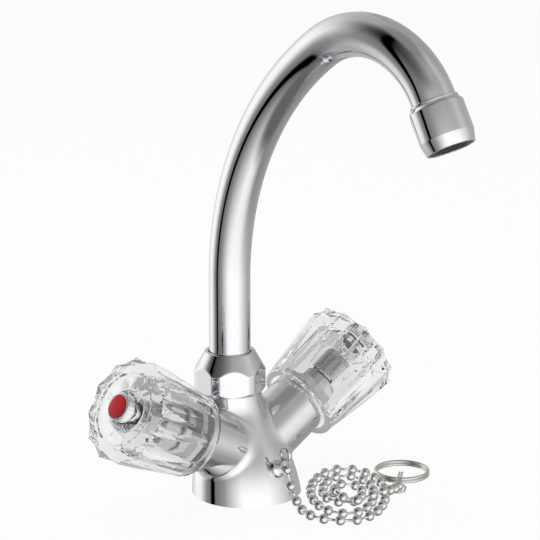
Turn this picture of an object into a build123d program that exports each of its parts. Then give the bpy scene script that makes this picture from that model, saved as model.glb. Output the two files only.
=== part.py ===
from build123d import *
import os
from math import asin, cos, degrees, pi, radians, sin, sqrt, tan

# Two-handle basin mixer: a chromed casting with two upswept arms, a swivelling
# swan-neck spout, clear faceted knobs and a ball chain with a split ring.
# Millimetres. +Z is up, the spout reaches towards -Y, the hot knob is at -X and the
# cold knob at +X. The origin is the middle of the foot's underside, on the basin.

# Body casting: an oblique flared trunk whose neck stands behind the foot's centre
FOOT_RADIUS = 25.0
NECK_SETBACK = 10.9
NECK_RADIUS = 14.3
SHOULDER_HEIGHT = 45.5
# Height, radius and set-back of the trunk's round sections, foot to shoulder
TRUNK_SECTIONS = (
    (0.0, FOOT_RADIUS, 0.0),
    (6.0, 24.2, 0.8),
    (13.0, 22.8, 1.9),
    (21.0, 20.6, 3.9),
    (30.0, 17.7, 7.1),
    (38.0, 15.4, 9.8),
    (SHOULDER_HEIGHT, NECK_RADIUS, NECK_SETBACK),
)
ARM_RADIUS = 14.4
ARM_LENGTH = 41.0
ARM_TILT = 28.4
ARM_SETBACK = 1.4
ARM_ROOT_HEIGHT = 15.8
ARM_FILLET = 1.6

# Supply inlets (M10 x 1), fixing-stud hole (M8) and gasket groove in the foot
INLET_SPACING = 17.0
INLET_RADIUS = 4.6
INLET_THREAD_DEPTH = 10.0
SUPPLY_RADIUS = 4.0
SUPPLY_TOP = 20.3
CROSS_DRILLING_RADIUS = 3.2
STUD_RADIUS = 3.4
STUD_DEPTH = 10.0
STUD_FORWARD = 13.0
GASKET_INNER, GASKET_OUTER, GASKET_DEPTH = 19.6, 22.4, 2.0
GASKET_GAP = 0.02

# Clearances: thread to thread, turning or sliding fit, and packed face to face
THREAD_GAP = 0.05
RUNNING_GAP = 0.05
FACE_GAP = 0.02

# Chain stay on the trunk's front: stud, domed collar and an eye bent upwards
STAY_POINT = (0.0, -20.2, 15.0)
STAY_SLOPE = 22.0
STAY_STUD, STAY_STUD_DEPTH = 1.6, 6.0
STAY_COLLAR, STAY_SEAT = 4.2, 0.8
STAY_STEM = 1.15
EYE_RADIUS, EYE_WIRE = 2.7, 0.75
EYE_CENTRE = (0.0, -25.6, 23.1)

# Valve line. Stations run along the arm's axis from where the two arms' axes cross
SEAT_ROOT, SEAT_STATION = 7.0, 17.0
SEAT_RADIUS = 5.0
ARM_BORE = 9.4
SCREW_RADIUS = 1.6
WASHER_SCREW_FOOT, WASHER_SCREW_HEAD, WASHER_SCREW_END = 15.3, 2.8, 23.5
VALVE_WASHER_RADIUS = 6.3
PLUNGER_RADIUS = 6.6
PLUNGER_FOOT, PLUNGER_DISC_TOP, PLUNGER_TOP = 19.6, 22.0, 33.0
GUIDE_FLATS, PLUNGER_FLATS = 11.2, 10.6

# Headwork, screwed into the arm's end
HEADWORK_FOOT = 27.2
HEADWORK_STATION = ARM_LENGTH + 0.8
HEADWORK_TOP = 54.0
HEADWORK_NECK = 9.0
GUIDE_TOP = 40.5
SPANNER_FLATS = 24.0
FLANGE_RADIUS, FLANGE_THICKNESS, FLANGE_CHAMFER = 14.4, 4.6, 1.2
SEALING_WASHER_RADIUS = 13.2

# Spindle, its two O-rings and its circlip
SPINDLE_THREAD = 3.6
SPINDLE_FOOT, COLLAR_STATION, COLLAR_TOP, JOURNAL_TOP, SPLINE_TOP = 30.0, 38.6, 40.4, 55.6, 66.4
COLLAR_RADIUS = 5.5
JOURNAL_RADIUS = 4.55
O_RING_STATIONS = (43.9, 48.9)
O_RING_SECTION = 0.76
O_RING_GROOVE, O_RING_GROOVE_WIDTH = 2.98, 1.8
CIRCLIP_STATION, CIRCLIP_THICKNESS, CIRCLIP_RADIUS = 54.2, 0.8, 6.0
CIRCLIP_GROOVE = 3.7
SPLINE_RADIUS, SPLINE_DEPTH, SPLINE_TEETH = 4.0, 0.4, 16

# Clear knob: skirt, flare, rim, bevelled end and hollow underside
KNOB_SKIRT_STATION, KNOB_SKIRT_RADIUS = 38.3, 19.4
KNOB_SKIRT_BAND = 2.6
KNOB_FLARE = ((21.3, 55.0), (23.0, 68.0))
KNOB_RIM_STATION, KNOB_RIM_RADIUS = 79.0, 24.0
KNOB_FACE_STATION, KNOB_FACE_RADIUS = 81.6, 16.5
KNOB_CROWN_STATION = 83.6
KNOB_LOBES = 12
LOBE_GROOVE = 1.5
KNOB_CAVITY_RADIUS, KNOB_CAVITY_SHOULDER = 15.8, 71.0
KNOB_CAVITY_NECK, KNOB_CAVITY_TOP = 9.6, 76.0
KNOB_BOSS_RADIUS, KNOB_BOSS_STATION = 8.6, 55.3
INSERT_RADIUS, INSERT_TOP = 7.0, 68.0
KNOB_SCREW_HEAD, KNOB_SCREW_HEAD_HEIGHT, SCREW_WELL = 3.4, 2.4, 4.2
INDEX_SEAT_STATION, INDEX_FACE_STATION = 79.0, 85.0
INDEX_RADIUS, INDEX_RIM_RADIUS = 5.3, 6.2

# Spout: tube, its bends (centre-line radius, turn in degrees) and the straight parts
TUBE_RADIUS = 9.4
TUBE_WALL = 1.2
TUBE_FOOT = 36.0
BEND_START = 98.2
SPOUT_BENDS = ((137.0, 55.2), (44.8, 81.5), (34.4, 14.4))
OUTLET_STRAIGHT = 1.7
NECK_BORE, NECK_BORE_FLOOR = 11.1, 33.0
NECK_TOP = 54.0
NECK_THREAD_RADIUS = 13.15

# Swivel bush with two O-rings, and the slip ring between its flange and the nut
BUSH_FLANGE, BUSH_FLANGE_FOOT, BUSH_TOP = 12.2, 54.1, 56.0
BUSH_GROOVES = ((39.0, 41.0), (46.0, 48.0))
BUSH_GROOVE_RADIUS = 9.85
SPOUT_O_RING_SECTION = 0.58
SLIP_RING_FOOT, SLIP_RING_TOP = 56.1, 56.9

# Spout nut: turned blank with a cone on top, six flats milled on it
NUT_ACROSS_FLATS = 30.0
NUT_BLANK_RADIUS = 16.3
NUT_CONE_FOOT = 55.6
NUT_CEILING = 57.0
NUT_TOP, NUT_TOP_RADIUS = 64.2, 11.5
NUT_HOLE = TUBE_RADIUS + 0.4
NUT_CHAMFER = 1.6
NUT_TURN = -6.0

# Outlet nipple and aerator, measured from the tube's end along the flow
NIPPLE_SOCKET, NIPPLE_FLANGE, NIPPLE_END = -3.5, 1.2, 7.0
NIPPLE_RADIUS, NIPPLE_THREAD, NIPPLE_BORE = 10.3, 9.85, 6.8
HOUSING_RADIUS = 11.6
HOUSING_THREAD = 9.9
HOUSING_FOOT, HOUSING_SHOULDER, HOUSING_BAND, HOUSING_MOUTH = 1.5, 2.9, 15.7, 20.9
HOUSING_MOUTH_RADIUS, MOUTH_OPENING = 10.4, 9.5
HOUSING_LIP_FOOT = 19.0
WASHER_FOOT, WASHER_TOP, WASHER_HOLE = 7.05, 8.6, 7.4
SCREEN_FOOT, SCREEN_TOP = 8.65, 9.05
SCREEN_HOLE = 0.8
SCREEN_CIRCLES = ((3.4, 8), (6.6, 14))
INSERT_FOOT, INSERT_SHOULDER, INSERT_END = 9.1, 18.95, 20.7
CARTRIDGE_RADIUS, CARTRIDGE_NOSE = 9.8, 9.4
STREAM_HOLE, STREAM_SPACING = 1.15, 3.0

# Ball chain, clip and split ring, on the surface that the foot stands on
BALL_RADIUS = 2.3
BALL_PITCH = 7.5
PIN_RADIUS = 0.75
COIL_CENTRE = (25.5, -38.5)
COIL_TURN = -43.5
# Half widths of the loops at the near, right, far and left points, outermost first
LOOP_REACHES = (36.0, 18.2, 32.0, 15.8, 27.5, 12.9, 23.0, 10.4, 13.0, 7.7, 12.0, 5.2)
END_ROUNDNESS = 0.62
# Route from the stay to the coil, and from the coil over its loops to the clip
DROP_POINTS = (
    (-26.6, -10.1, 16.8), (-25.6, -11.2, 12.0), (-24.0, -13.0, 6.8), (-21.8, -16.4, 2.9),
    (-20.2, -22.6, BALL_RADIUS), (-16.6, -29.6, BALL_RADIUS), (-9.6, -34.8, BALL_RADIUS),
    (0, -36.0, BALL_RADIUS),
)
RUN_POINTS = (
    (-5.2, 0, BALL_RADIUS), (-5.7, -5.0, 3.9), (-4.6, -11.2, 7.7), (-1.2, -16.8, 5.4),
    (3.4, -19.6, 5.2), (9.4, -18.9, 7.4), (14.6, -15.4, 7.5), (18.0, -10.0, 7.2),
    (21.4, -2.6, 4.4), (24.6, 8.5, BALL_RADIUS),
)
COUPLING_RADIUS, COUPLING_WIRE, COUPLING_GAP = 1.75, 0.4, 0.06
RING_RADIUS, RING_WIRE = 12.2, 0.75
RING_CENTRE = (27.3, 30.7)
CLIP_WIRE = 0.5


def turned(*points):
    """Solid of revolution about +Z from a closed outline of (radius, height) points."""
    outline = Polyline(*[(r, 0, z) for r, z in points], close=True)
    return revolve(make_face(outline), Axis.Z)


def ring(inner, outer, low, high):
    """Plain ring about +Z between two heights."""
    return turned((inner, low), (outer, low), (outer, high), (inner, high))


def rod(radius, low, high):
    """Plain round rod about +Z between two heights."""
    return Pos(0, 0, low) * extrude(Circle(radius), high - low)


def hexagon_bar(across_flats, low, high, turn=0.0):
    """Hexagonal bar about +Z between two heights."""
    outline = RegularPolygon(across_flats / 2, 6, major_radius=False, rotation=turn)
    return Pos(0, 0, low) * extrude(outline, high - low)


def star(outer, low, high):
    """Serrated bar about +Z: the spline's outline, with pointed teeth."""
    corners = []
    for i in range(2 * SPLINE_TEETH):
        reach = outer - SPLINE_DEPTH * (i % 2)
        angle = pi * i / SPLINE_TEETH
        corners.append((reach * cos(angle), reach * sin(angle)))
    outline = make_face(Polyline(*corners, close=True))
    return Pos(0, 0, low) * extrude(outline, high - low)


def arm_frame(side):
    """Frame of one arm: its +Z runs out along the arm; side is -1 for hot, 1 for cold."""
    origin = (0, ARM_SETBACK, ARM_ROOT_HEIGHT)
    out = (side * cos(radians(ARM_TILT)), 0, sin(radians(ARM_TILT)))
    return Location(Plane(origin=origin, x_dir=(0, side, 0), z_dir=out))


def neck_frame():
    """Upright frame of the neck and the spout's swivel."""
    return Pos(0, NECK_SETBACK, 0)


def spot(frame, point):
    """A point given in a frame, as a point of the whole object."""
    return (frame * Pos(*point)).position


# Body casting and what is fixed to it

def trunk_and_arms():
    """Outer form of the casting below the shoulder, with the creases at the arms rounded."""
    outer = loft([Pos(0, back, z) * Circle(r) for z, r, back in TRUNK_SECTIONS])
    for side in (-1, 1):
        outer += arm_frame(side) * rod(ARM_RADIUS, 0, ARM_LENGTH)
    foot_clearance = 4.0
    creases = [
        e for e in outer.edges()
        if e.geom_type not in (GeomType.LINE, GeomType.CIRCLE)
        and e.center().Z > foot_clearance
    ]
    return fillet(creases, ARM_FILLET)


def chamber_drilling(side):
    """Drilling from one valve chamber to the floor of the neck's bore."""
    start = Vector(0, NECK_SETBACK, NECK_BORE_FLOOR + 1)
    along = spot(arm_frame(side), (0, 0, SEAT_STATION + 4)) - start
    frame = Plane(origin=start, z_dir=along.normalized())
    return frame * extrude(Circle(CROSS_DRILLING_RADIUS), along.length)


def body_casting():
    casting = trunk_and_arms()
    casting += neck_frame() * rod(NECK_THREAD_RADIUS, SHOULDER_HEIGHT - 1, NECK_TOP)
    casting -= neck_frame() * rod(NECK_BORE, NECK_BORE_FLOOR, NECK_TOP + 1)
    for side in (-1, 1):
        casting -= arm_frame(side) * rod(ARM_BORE, SEAT_STATION, ARM_LENGTH + 1)
        casting -= arm_frame(side) * rod(SEAT_RADIUS, SEAT_ROOT, SEAT_STATION + 1)
        supply = Pos(side * INLET_SPACING / 2, ARM_SETBACK, 0)
        casting -= supply * rod(SUPPLY_RADIUS, -1, SUPPLY_TOP)
        casting -= supply * rod(INLET_RADIUS, -1, INLET_THREAD_DEPTH)
        casting -= chamber_drilling(side)
    casting -= Pos(0, -STUD_FORWARD, 0) * rod(STUD_RADIUS, -1, STUD_DEPTH)
    casting -= ring(GASKET_INNER, GASKET_OUTER, -1, GASKET_DEPTH)
    casting -= stay_frame() * rod(STAY_STUD + RUNNING_GAP, -STAY_STUD_DEPTH - 0.2, 4)
    casting -= stay_frame() * rod(STAY_COLLAR + RUNNING_GAP, -STAY_SEAT, 4)
    return casting


def base_gasket():
    inner, outer = GASKET_INNER + GASKET_GAP, GASKET_OUTER - GASKET_GAP
    return ring(inner, outer, 0, GASKET_DEPTH - GASKET_GAP)


def stay_frame():
    """Frame on the trunk's front at the chain stay: its +Z leaves the surface."""
    out = (0, -cos(radians(STAY_SLOPE)), sin(radians(STAY_SLOPE)))
    return Location(Plane(origin=STAY_POINT, x_dir=(1, 0, 0), z_dir=out))


def chain_stay():
    dome = turned(
        (0, -STAY_SEAT), (STAY_COLLAR, -STAY_SEAT), (STAY_COLLAR, 0.6),
        (3.6, 1.8), (2.2, 2.8), (0, 3.2),
    )
    stay = stay_frame() * (dome + rod(STAY_STUD, -STAY_STUD_DEPTH, 0))
    eye_plane = Plane(origin=EYE_CENTRE, x_dir=(0, 1, 0), z_dir=(1, 0, 0))
    eye = eye_plane * Torus(EYE_RADIUS, EYE_WIRE)
    root = spot(stay_frame(), (0, 0, 2.0))
    towards = Vector(EYE_CENTRE) - root
    stem_plane = Plane(origin=root, z_dir=towards.normalized())
    return stay + stem_plane * rod(STAY_STEM, 0, towards.length - EYE_RADIUS) + eye


def spout_nut():
    foot = SHOULDER_HEIGHT + 0.05
    thread = NECK_THREAD_RADIUS + THREAD_GAP
    blank = turned(
        (thread, foot), (NUT_BLANK_RADIUS - NUT_CHAMFER, foot),
        (NUT_BLANK_RADIUS, SHOULDER_HEIGHT + NUT_CHAMFER), (NUT_BLANK_RADIUS, NUT_CONE_FOOT),
        (NUT_TOP_RADIUS, NUT_TOP), (NUT_HOLE, NUT_TOP), (NUT_HOLE, NUT_CEILING), (thread, NUT_CEILING),
    )
    flats = hexagon_bar(NUT_ACROSS_FLATS, foot - 1, NUT_TOP + 1, turn=30)
    return neck_frame() * Rot(0, 0, NUT_TURN) * (blank & flats)


def spout_slip_ring():
    inner, outer = TUBE_RADIUS + 0.45, BUSH_FLANGE + 0.4
    return neck_frame() * ring(inner, outer, SLIP_RING_FOOT, SLIP_RING_TOP)


# Headwork: screwed into the arm, it guides the plunger and carries the spindle

def headwork_body():
    journal = JOURNAL_RADIUS + RUNNING_GAP
    flange_top = HEADWORK_STATION + FLANGE_THICKNESS
    screwed = ring(journal, ARM_BORE - THREAD_GAP, HEADWORK_FOOT, HEADWORK_STATION)
    flange = turned(
        (journal, HEADWORK_STATION), (FLANGE_RADIUS, HEADWORK_STATION),
        (FLANGE_RADIUS, flange_top - 0.8), (FLANGE_RADIUS - FLANGE_CHAMFER, flange_top),
        (journal, flange_top),
    )
    flange &= hexagon_bar(SPANNER_FLATS, HEADWORK_STATION - 1, flange_top + 1)
    neck = turned(
        (journal, flange_top - 0.4), (HEADWORK_NECK, flange_top - 0.4), (HEADWORK_NECK, HEADWORK_TOP - 0.8),
        (HEADWORK_NECK - 0.8, HEADWORK_TOP), (journal, HEADWORK_TOP),
    )
    return screwed + flange + neck - hexagon_bar(GUIDE_FLATS, HEADWORK_FOOT - 1, GUIDE_TOP)


def headwork_washer():
    return ring(ARM_BORE + 0.4, SEALING_WASHER_RADIUS, ARM_LENGTH + FACE_GAP, HEADWORK_STATION - FACE_GAP)


def spindle():
    bar = rod(SPINDLE_THREAD, SPINDLE_FOOT, COLLAR_STATION)
    bar += rod(COLLAR_RADIUS, COLLAR_STATION, COLLAR_TOP)
    bar += rod(JOURNAL_RADIUS, COLLAR_TOP, JOURNAL_TOP)
    half_width = O_RING_GROOVE_WIDTH / 2
    for station in O_RING_STATIONS:
        bar -= ring(O_RING_GROOVE, COLLAR_RADIUS, station - half_width, station + half_width)
    clip_low, clip_high = CIRCLIP_STATION - 0.05, CIRCLIP_STATION + CIRCLIP_THICKNESS + 0.05
    bar -= ring(CIRCLIP_GROOVE, COLLAR_RADIUS, clip_low, clip_high)
    bar += star(SPLINE_RADIUS, JOURNAL_TOP, SPLINE_TOP)
    return bar - rod(SCREW_RADIUS + RUNNING_GAP, JOURNAL_TOP - 1.1, SPLINE_TOP + 1)


def spindle_o_rings():
    centre = JOURNAL_RADIUS - O_RING_SECTION
    lower, upper = [Pos(0, 0, station) * Torus(centre, O_RING_SECTION) for station in O_RING_STATIONS]
    return lower + upper


def circlip():
    clip = ring(CIRCLIP_GROOVE + 0.05, CIRCLIP_RADIUS, CIRCLIP_STATION, CIRCLIP_STATION + CIRCLIP_THICKNESS)
    mouth = 2.4
    return clip - Pos(5, 0, CIRCLIP_STATION) * Box(5, mouth, 2)


# Valve: the plunger rides on the spindle's thread and lifts its washer off the seat

def valve_plunger():
    plunger = rod(PLUNGER_RADIUS, PLUNGER_FOOT, PLUNGER_DISC_TOP)
    plunger += hexagon_bar(PLUNGER_FLATS, PLUNGER_DISC_TOP, PLUNGER_TOP)
    plunger -= rod(SCREW_RADIUS + RUNNING_GAP, PLUNGER_FOOT - 1, WASHER_SCREW_END + 1.5)
    return plunger - rod(SPINDLE_THREAD + 0.08, WASHER_SCREW_END + 1, PLUNGER_TOP + 1)


def valve_washer():
    hole = SCREW_RADIUS + RUNNING_GAP
    return ring(hole, VALVE_WASHER_RADIUS, SEAT_STATION + 0.1, PLUNGER_FOOT - FACE_GAP)


def washer_screw():
    head_top = SEAT_STATION + 0.08
    head = turned(
        (0, WASHER_SCREW_FOOT), (WASHER_SCREW_HEAD - 0.4, WASHER_SCREW_FOOT),
        (WASHER_SCREW_HEAD, WASHER_SCREW_FOOT + 0.6), (WASHER_SCREW_HEAD, head_top), (0, head_top),
    )
    slot = Box(3 * WASHER_SCREW_HEAD, 0.8, 1.2)
    return head + rod(SCREW_RADIUS, SEAT_STATION, WASHER_SCREW_END) - Pos(0, 0, WASHER_SCREW_FOOT) * slot


# Knob: clear moulding with lobes round it, a bevelled end and a hollow underside

def lobe_groove():
    """Round cutter laid along the knob's flank, from above the skirt band to past the rim."""
    rise = KNOB_RIM_RADIUS - KNOB_SKIRT_RADIUS
    run = KNOB_RIM_STATION - KNOB_SKIRT_STATION - KNOB_SKIRT_BAND
    lean = degrees(asin(rise / sqrt(rise ** 2 + run ** 2)))
    start = Pos(KNOB_SKIRT_RADIUS, 0, KNOB_SKIRT_STATION + KNOB_SKIRT_BAND + 0.6)
    return start * Rot(0, lean, 0) * (rod(LOBE_GROOVE, 0, run + 12) + Sphere(LOBE_GROOVE))


def knob():
    edge = 0.8
    outer = turned(
        (0, KNOB_SKIRT_STATION), (KNOB_SKIRT_RADIUS - edge, KNOB_SKIRT_STATION),
        (KNOB_SKIRT_RADIUS, KNOB_SKIRT_STATION + edge),
        (KNOB_SKIRT_RADIUS, KNOB_SKIRT_STATION + KNOB_SKIRT_BAND),
        *KNOB_FLARE, (KNOB_RIM_RADIUS, KNOB_RIM_STATION), (KNOB_FACE_RADIUS, KNOB_FACE_STATION),
        (INDEX_RIM_RADIUS + edge, KNOB_CROWN_STATION), (0, KNOB_CROWN_STATION),
    )
    groove = lobe_groove()
    for i in range(KNOB_LOBES):
        outer -= Rot(0, 0, (i + 0.5) * 360 / KNOB_LOBES) * groove
    below = KNOB_SKIRT_STATION - 1
    cavity = turned(
        (KNOB_BOSS_RADIUS, below), (KNOB_CAVITY_RADIUS, below), (KNOB_CAVITY_RADIUS, KNOB_CAVITY_SHOULDER),
        (KNOB_CAVITY_NECK, KNOB_CAVITY_TOP), (KNOB_BOSS_RADIUS, KNOB_CAVITY_TOP),
    )
    below_boss = rod(KNOB_BOSS_RADIUS + edge, below, KNOB_BOSS_STATION)
    insert_seat = rod(INSERT_RADIUS, KNOB_BOSS_STATION - 1, INSERT_TOP)
    screw_well = rod(SCREW_WELL, INSERT_TOP - 1, KNOB_CROWN_STATION)
    index_seat = rod(INDEX_RIM_RADIUS + 0.02, INDEX_SEAT_STATION, INDEX_FACE_STATION)
    return outer - cavity - below_boss - insert_seat - screw_well - index_seat


def knob_insert():
    bush = rod(INSERT_RADIUS - FACE_GAP, KNOB_BOSS_STATION + 0.4, INSERT_TOP - FACE_GAP)
    bush -= star(SPLINE_RADIUS + RUNNING_GAP, KNOB_BOSS_STATION, SPLINE_TOP + 0.1)
    return bush - rod(SCREW_RADIUS + 0.4, SPLINE_TOP - 1, INSERT_TOP + 1)


def knob_screw():
    head_top = INSERT_TOP + KNOB_SCREW_HEAD_HEIGHT
    head = turned(
        (0, INSERT_TOP), (KNOB_SCREW_HEAD, INSERT_TOP), (KNOB_SCREW_HEAD, head_top - 0.8),
        (KNOB_SCREW_HEAD - 0.8, head_top), (0, head_top),
    )
    cross = Box(4, 0.9, 1.8) + Box(0.9, 4, 1.8)
    return rod(SCREW_RADIUS, JOURNAL_TOP + 0.4, INSERT_TOP + 0.2) + head - Pos(0, 0, head_top - 0.4) * cross


def index_cap():
    radius = INDEX_RADIUS - FACE_GAP
    foot = INDEX_SEAT_STATION + 0.1
    return turned(
        (0, foot), (radius, foot), (radius, INDEX_FACE_STATION - 0.5),
        (radius - 0.48, INDEX_FACE_STATION - 0.15), (0, INDEX_FACE_STATION),
    )


def index_rim():
    foot, top = INDEX_SEAT_STATION + 0.1, INDEX_FACE_STATION - 0.2
    return turned(
        (INDEX_RADIUS, foot), (INDEX_RIM_RADIUS, foot), (INDEX_RIM_RADIUS, top - 0.5),
        (INDEX_RIM_RADIUS - 0.3, top), (INDEX_RADIUS, top),
    )


# Spout: tube, swivel bush, nipple and aerator

def spout_plane():
    """Plane of the spout's centre line: its x runs forwards and its y upwards."""
    return Plane(origin=(0, NECK_SETBACK, 0), x_dir=(0, -1, 0), z_dir=(-1, 0, 0))


def spout_centre_line():
    """Rising straight, then bends forwards and down, then a short straight outlet."""
    edges = [Line((0, TUBE_FOOT), (0, BEND_START))]
    for radius, turn in SPOUT_BENDS:
        edges.append(JernArc(edges[-1] @ 1, edges[-1] % 1, radius, -turn))
    end, way = edges[-1] @ 1, edges[-1] % 1
    edges.append(Line(end, end + way * OUTLET_STRAIGHT))
    return spout_plane() * Wire(edges)


def outlet_frame():
    """Frame at the tube's end: its +Z runs along the flow."""
    path = spout_centre_line()
    return Location(Plane(origin=path @ 1, x_dir=(1, 0, 0), z_dir=path % 1))


def spout_tube():
    path = spout_centre_line()
    wall = Circle(TUBE_RADIUS) - Circle(TUBE_RADIUS - TUBE_WALL)
    return sweep(Plane(origin=path @ 0, z_dir=path % 0) * wall, path=path)


def spout_bush():
    outer = NECK_BORE - RUNNING_GAP
    bush = ring(TUBE_RADIUS + 0.01, outer, TUBE_FOOT, BUSH_FLANGE_FOOT)
    bush += ring(TUBE_RADIUS + 0.01, BUSH_FLANGE, BUSH_FLANGE_FOOT, BUSH_TOP)
    for low, high in BUSH_GROOVES:
        bush -= ring(BUSH_GROOVE_RADIUS, BUSH_FLANGE, low, high)
    return neck_frame() * bush


def spout_o_rings():
    centre = NECK_BORE - RUNNING_GAP - SPOUT_O_RING_SECTION
    section = SPOUT_O_RING_SECTION
    lower, upper = [Pos(0, 0, (low + high) / 2) * Torus(centre, section) for low, high in BUSH_GROOVES]
    return neck_frame() * (lower + upper)


def spout_end_nipple():
    socket = TUBE_RADIUS - TUBE_WALL - 0.1
    return turned(
        (NIPPLE_BORE, NIPPLE_SOCKET), (socket, NIPPLE_SOCKET), (socket, FACE_GAP),
        (NIPPLE_RADIUS, FACE_GAP), (NIPPLE_RADIUS, NIPPLE_FLANGE), (NIPPLE_THREAD, NIPPLE_FLANGE),
        (NIPPLE_THREAD, NIPPLE_END), (NIPPLE_BORE, NIPPLE_END),
    )


def aerator_housing():
    return turned(
        (HOUSING_THREAD, HOUSING_FOOT), (HOUSING_RADIUS - 1, HOUSING_FOOT),
        (HOUSING_RADIUS, HOUSING_SHOULDER), (HOUSING_RADIUS, HOUSING_BAND),
        (HOUSING_MOUTH_RADIUS, HOUSING_MOUTH), (MOUTH_OPENING, HOUSING_MOUTH),
        (MOUTH_OPENING, HOUSING_LIP_FOOT), (HOUSING_THREAD, HOUSING_LIP_FOOT),
    )


def aerator_washer():
    return ring(WASHER_HOLE, NIPPLE_THREAD, WASHER_FOOT, WASHER_TOP)


def aerator_screen():
    """Inlet strainer of thin sheet, drilled in two circles of holes."""
    disc = rod(CARTRIDGE_RADIUS - 0.1, SCREEN_FOOT, SCREEN_TOP)
    hole = rod(SCREEN_HOLE, SCREEN_FOOT - 1, SCREEN_TOP + 1)
    for radius, count in SCREEN_CIRCLES:
        for i in range(count):
            disc -= Rot(0, 0, 360 * i / count) * Pos(radius, 0, 0) * hole
    return disc


def aerator_insert():
    """Moulded cartridge with a honeycomb of round flow straighteners, its nose flush in the mouth."""
    hole = rod(STREAM_HOLE, INSERT_FOOT - 1, INSERT_END + 1)
    holes = [hole]
    for hexagon in (1, 2):
        for side in range(6):
            corner = Vector(hexagon * STREAM_SPACING, 0, 0).rotate(Axis.Z, 60 * side)
            for step in range(hexagon):
                place = corner + Vector(step * STREAM_SPACING, 0, 0).rotate(Axis.Z, 60 * side + 120)
                holes.append(Pos(place.X, place.Y, 0) * hole)
    cartridge = rod(CARTRIDGE_RADIUS, INSERT_FOOT, INSERT_SHOULDER)
    return cartridge + rod(CARTRIDGE_NOSE, INSERT_SHOULDER - 1, INSERT_END) - holes


# Ball chain: the route is the drop from the stay, the coil, and the run to the clip

def coil_frame():
    """Frame of the coil on the surface: x to its right, y towards its far end."""
    return Pos(COIL_CENTRE[0], COIL_CENTRE[1], 0) * Rot(0, 0, COIL_TURN)


def free_path(points):
    """Straight runs joined by tangent arcs, each as large as its two runs allow."""
    corners = [Vector(*p) for p in points]
    radii = []
    for before, corner, after in zip(corners, corners[1:], corners[2:]):
        run = min((corner - before).length, (after - corner).length)
        turn = (corner - before).get_angle(after - corner)
        radii.append(0.45 * run / tan(radians(turn) / 2))
    print("free path radii:", [round(r, 1) for r in radii])
    return Wire(FilletPolyline(*corners, radius=radii).edges())


def coil_quarter(k):
    """Two tangent arcs over a quarter turn, from loop point k to the next one."""
    first, second = LOOP_REACHES[k], LOOP_REACHES[k + 1]
    long_axis_first = k % 2 == 0
    width, depth = (second, first) if long_axis_first else (first, second)
    small = END_ROUNDNESS * width
    large = (width ** 2 + (depth - small) ** 2 - small ** 2) / (2 * (width - small))
    end_centre, side_centre = Vector(0, depth - small), Vector(width - large, 0)
    joint = end_centre + (end_centre - side_centre).normalized() * small
    side_point, end_point = Vector(width, 0), Vector(0, depth)
    right, far = (1, -1), (1, 1)
    signs = (right, far, (-1, 1), (-1, -1))[k % 4]
    place = [Vector(p.X * signs[0], p.Y * signs[1], BALL_RADIUS) for p in (side_point, joint, end_point)]
    if long_axis_first:
        place.reverse()
    heading = (Vector(1, 0), Vector(0, 1), Vector(-1, 0), Vector(0, -1))[k % 4]
    arc = TangentArc(place[0], place[1], tangent=heading)
    return [arc, TangentArc(place[1], place[2], tangent=arc % 1)]


def coil_path():
    """Oval loops that draw in a little every quarter turn."""
    edges = []
    for k in range(len(LOOP_REACHES) - 1):
        edges += coil_quarter(k)
    return Wire(edges)


def chain_route():
    """The whole chain's ball centres, and which stretch each of them lies on."""
    stretches = {"drop": free_path(DROP_POINTS), "coil": coil_path(), "run": free_path(RUN_POINTS)}
    total = sum(path.length for path in stretches.values())
    count = round(total / BALL_PITCH)
    pitch = total / count
    print("chain length", round(total, 1), "balls", count + 1, "pitch", round(pitch, 3))
    balls = []
    begin = 0.0
    for name, path in stretches.items():
        for i in range(count + 1):
            way = i * pitch - begin
            last = name == "run" and i == count
            if 0 <= way < path.length - 1e-6 or last:
                point = path.position_at(min(way, path.length), position_mode=PositionMode.LENGTH)
                balls.append((name, point))
        begin += path.length
    return balls


def ball_string(points, follows=None):
    """Balls joined by short straight pins; follows is the ball that the first pin leaves."""
    chain = ([follows] if follows else []) + list(points)
    pin_end = BALL_RADIUS - 0.3
    solids = []
    for a, b in zip(chain, chain[1:]):
        way = (b - a).normalized()
        pin_length = (b - a).length - 2 * pin_end
        solids.append(Plane(origin=a + way * pin_end, z_dir=way) * extrude(Circle(PIN_RADIUS), pin_length))
    for i, point in enumerate(points):
        before, after = points[max(i - 1, 0)], points[min(i + 1, len(points) - 1)]
        across = (after - before).cross(Vector(0, 0, 1))
        solids.append(Plane(origin=point, x_dir=across, z_dir=(0, 0, 1)) * Sphere(BALL_RADIUS))
    return coil_frame() * solids[0].fuse(*solids[1:])


def least_gap(points):
    """Least clear distance between balls that aren't neighbours."""
    gaps = [
        (a - b).length - 2 * BALL_RADIUS
        for i, a in enumerate(points) for b in points[i + 2:]
    ]
    return min(gaps)


def chain_coupling():
    """Wire ring through the stay's eye, held in the first ball."""
    first = spot(coil_frame(), DROP_POINTS[0])
    lean = Vector(0, first.Y - EYE_CENTRE[1], first.Z - EYE_CENTRE[2])
    eye_foot = Vector(EYE_CENTRE) + lean.normalized() * EYE_RADIUS
    down = (first - eye_foot).normalized()
    centre = eye_foot + down * (COUPLING_RADIUS - COUPLING_WIRE - EYE_WIRE - COUPLING_GAP)
    plane = Plane(origin=centre, x_dir=down, z_dir=down.cross(Vector(1, 0, 0)))
    return plane * Torus(COUPLING_RADIUS, COUPLING_WIRE)


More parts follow.
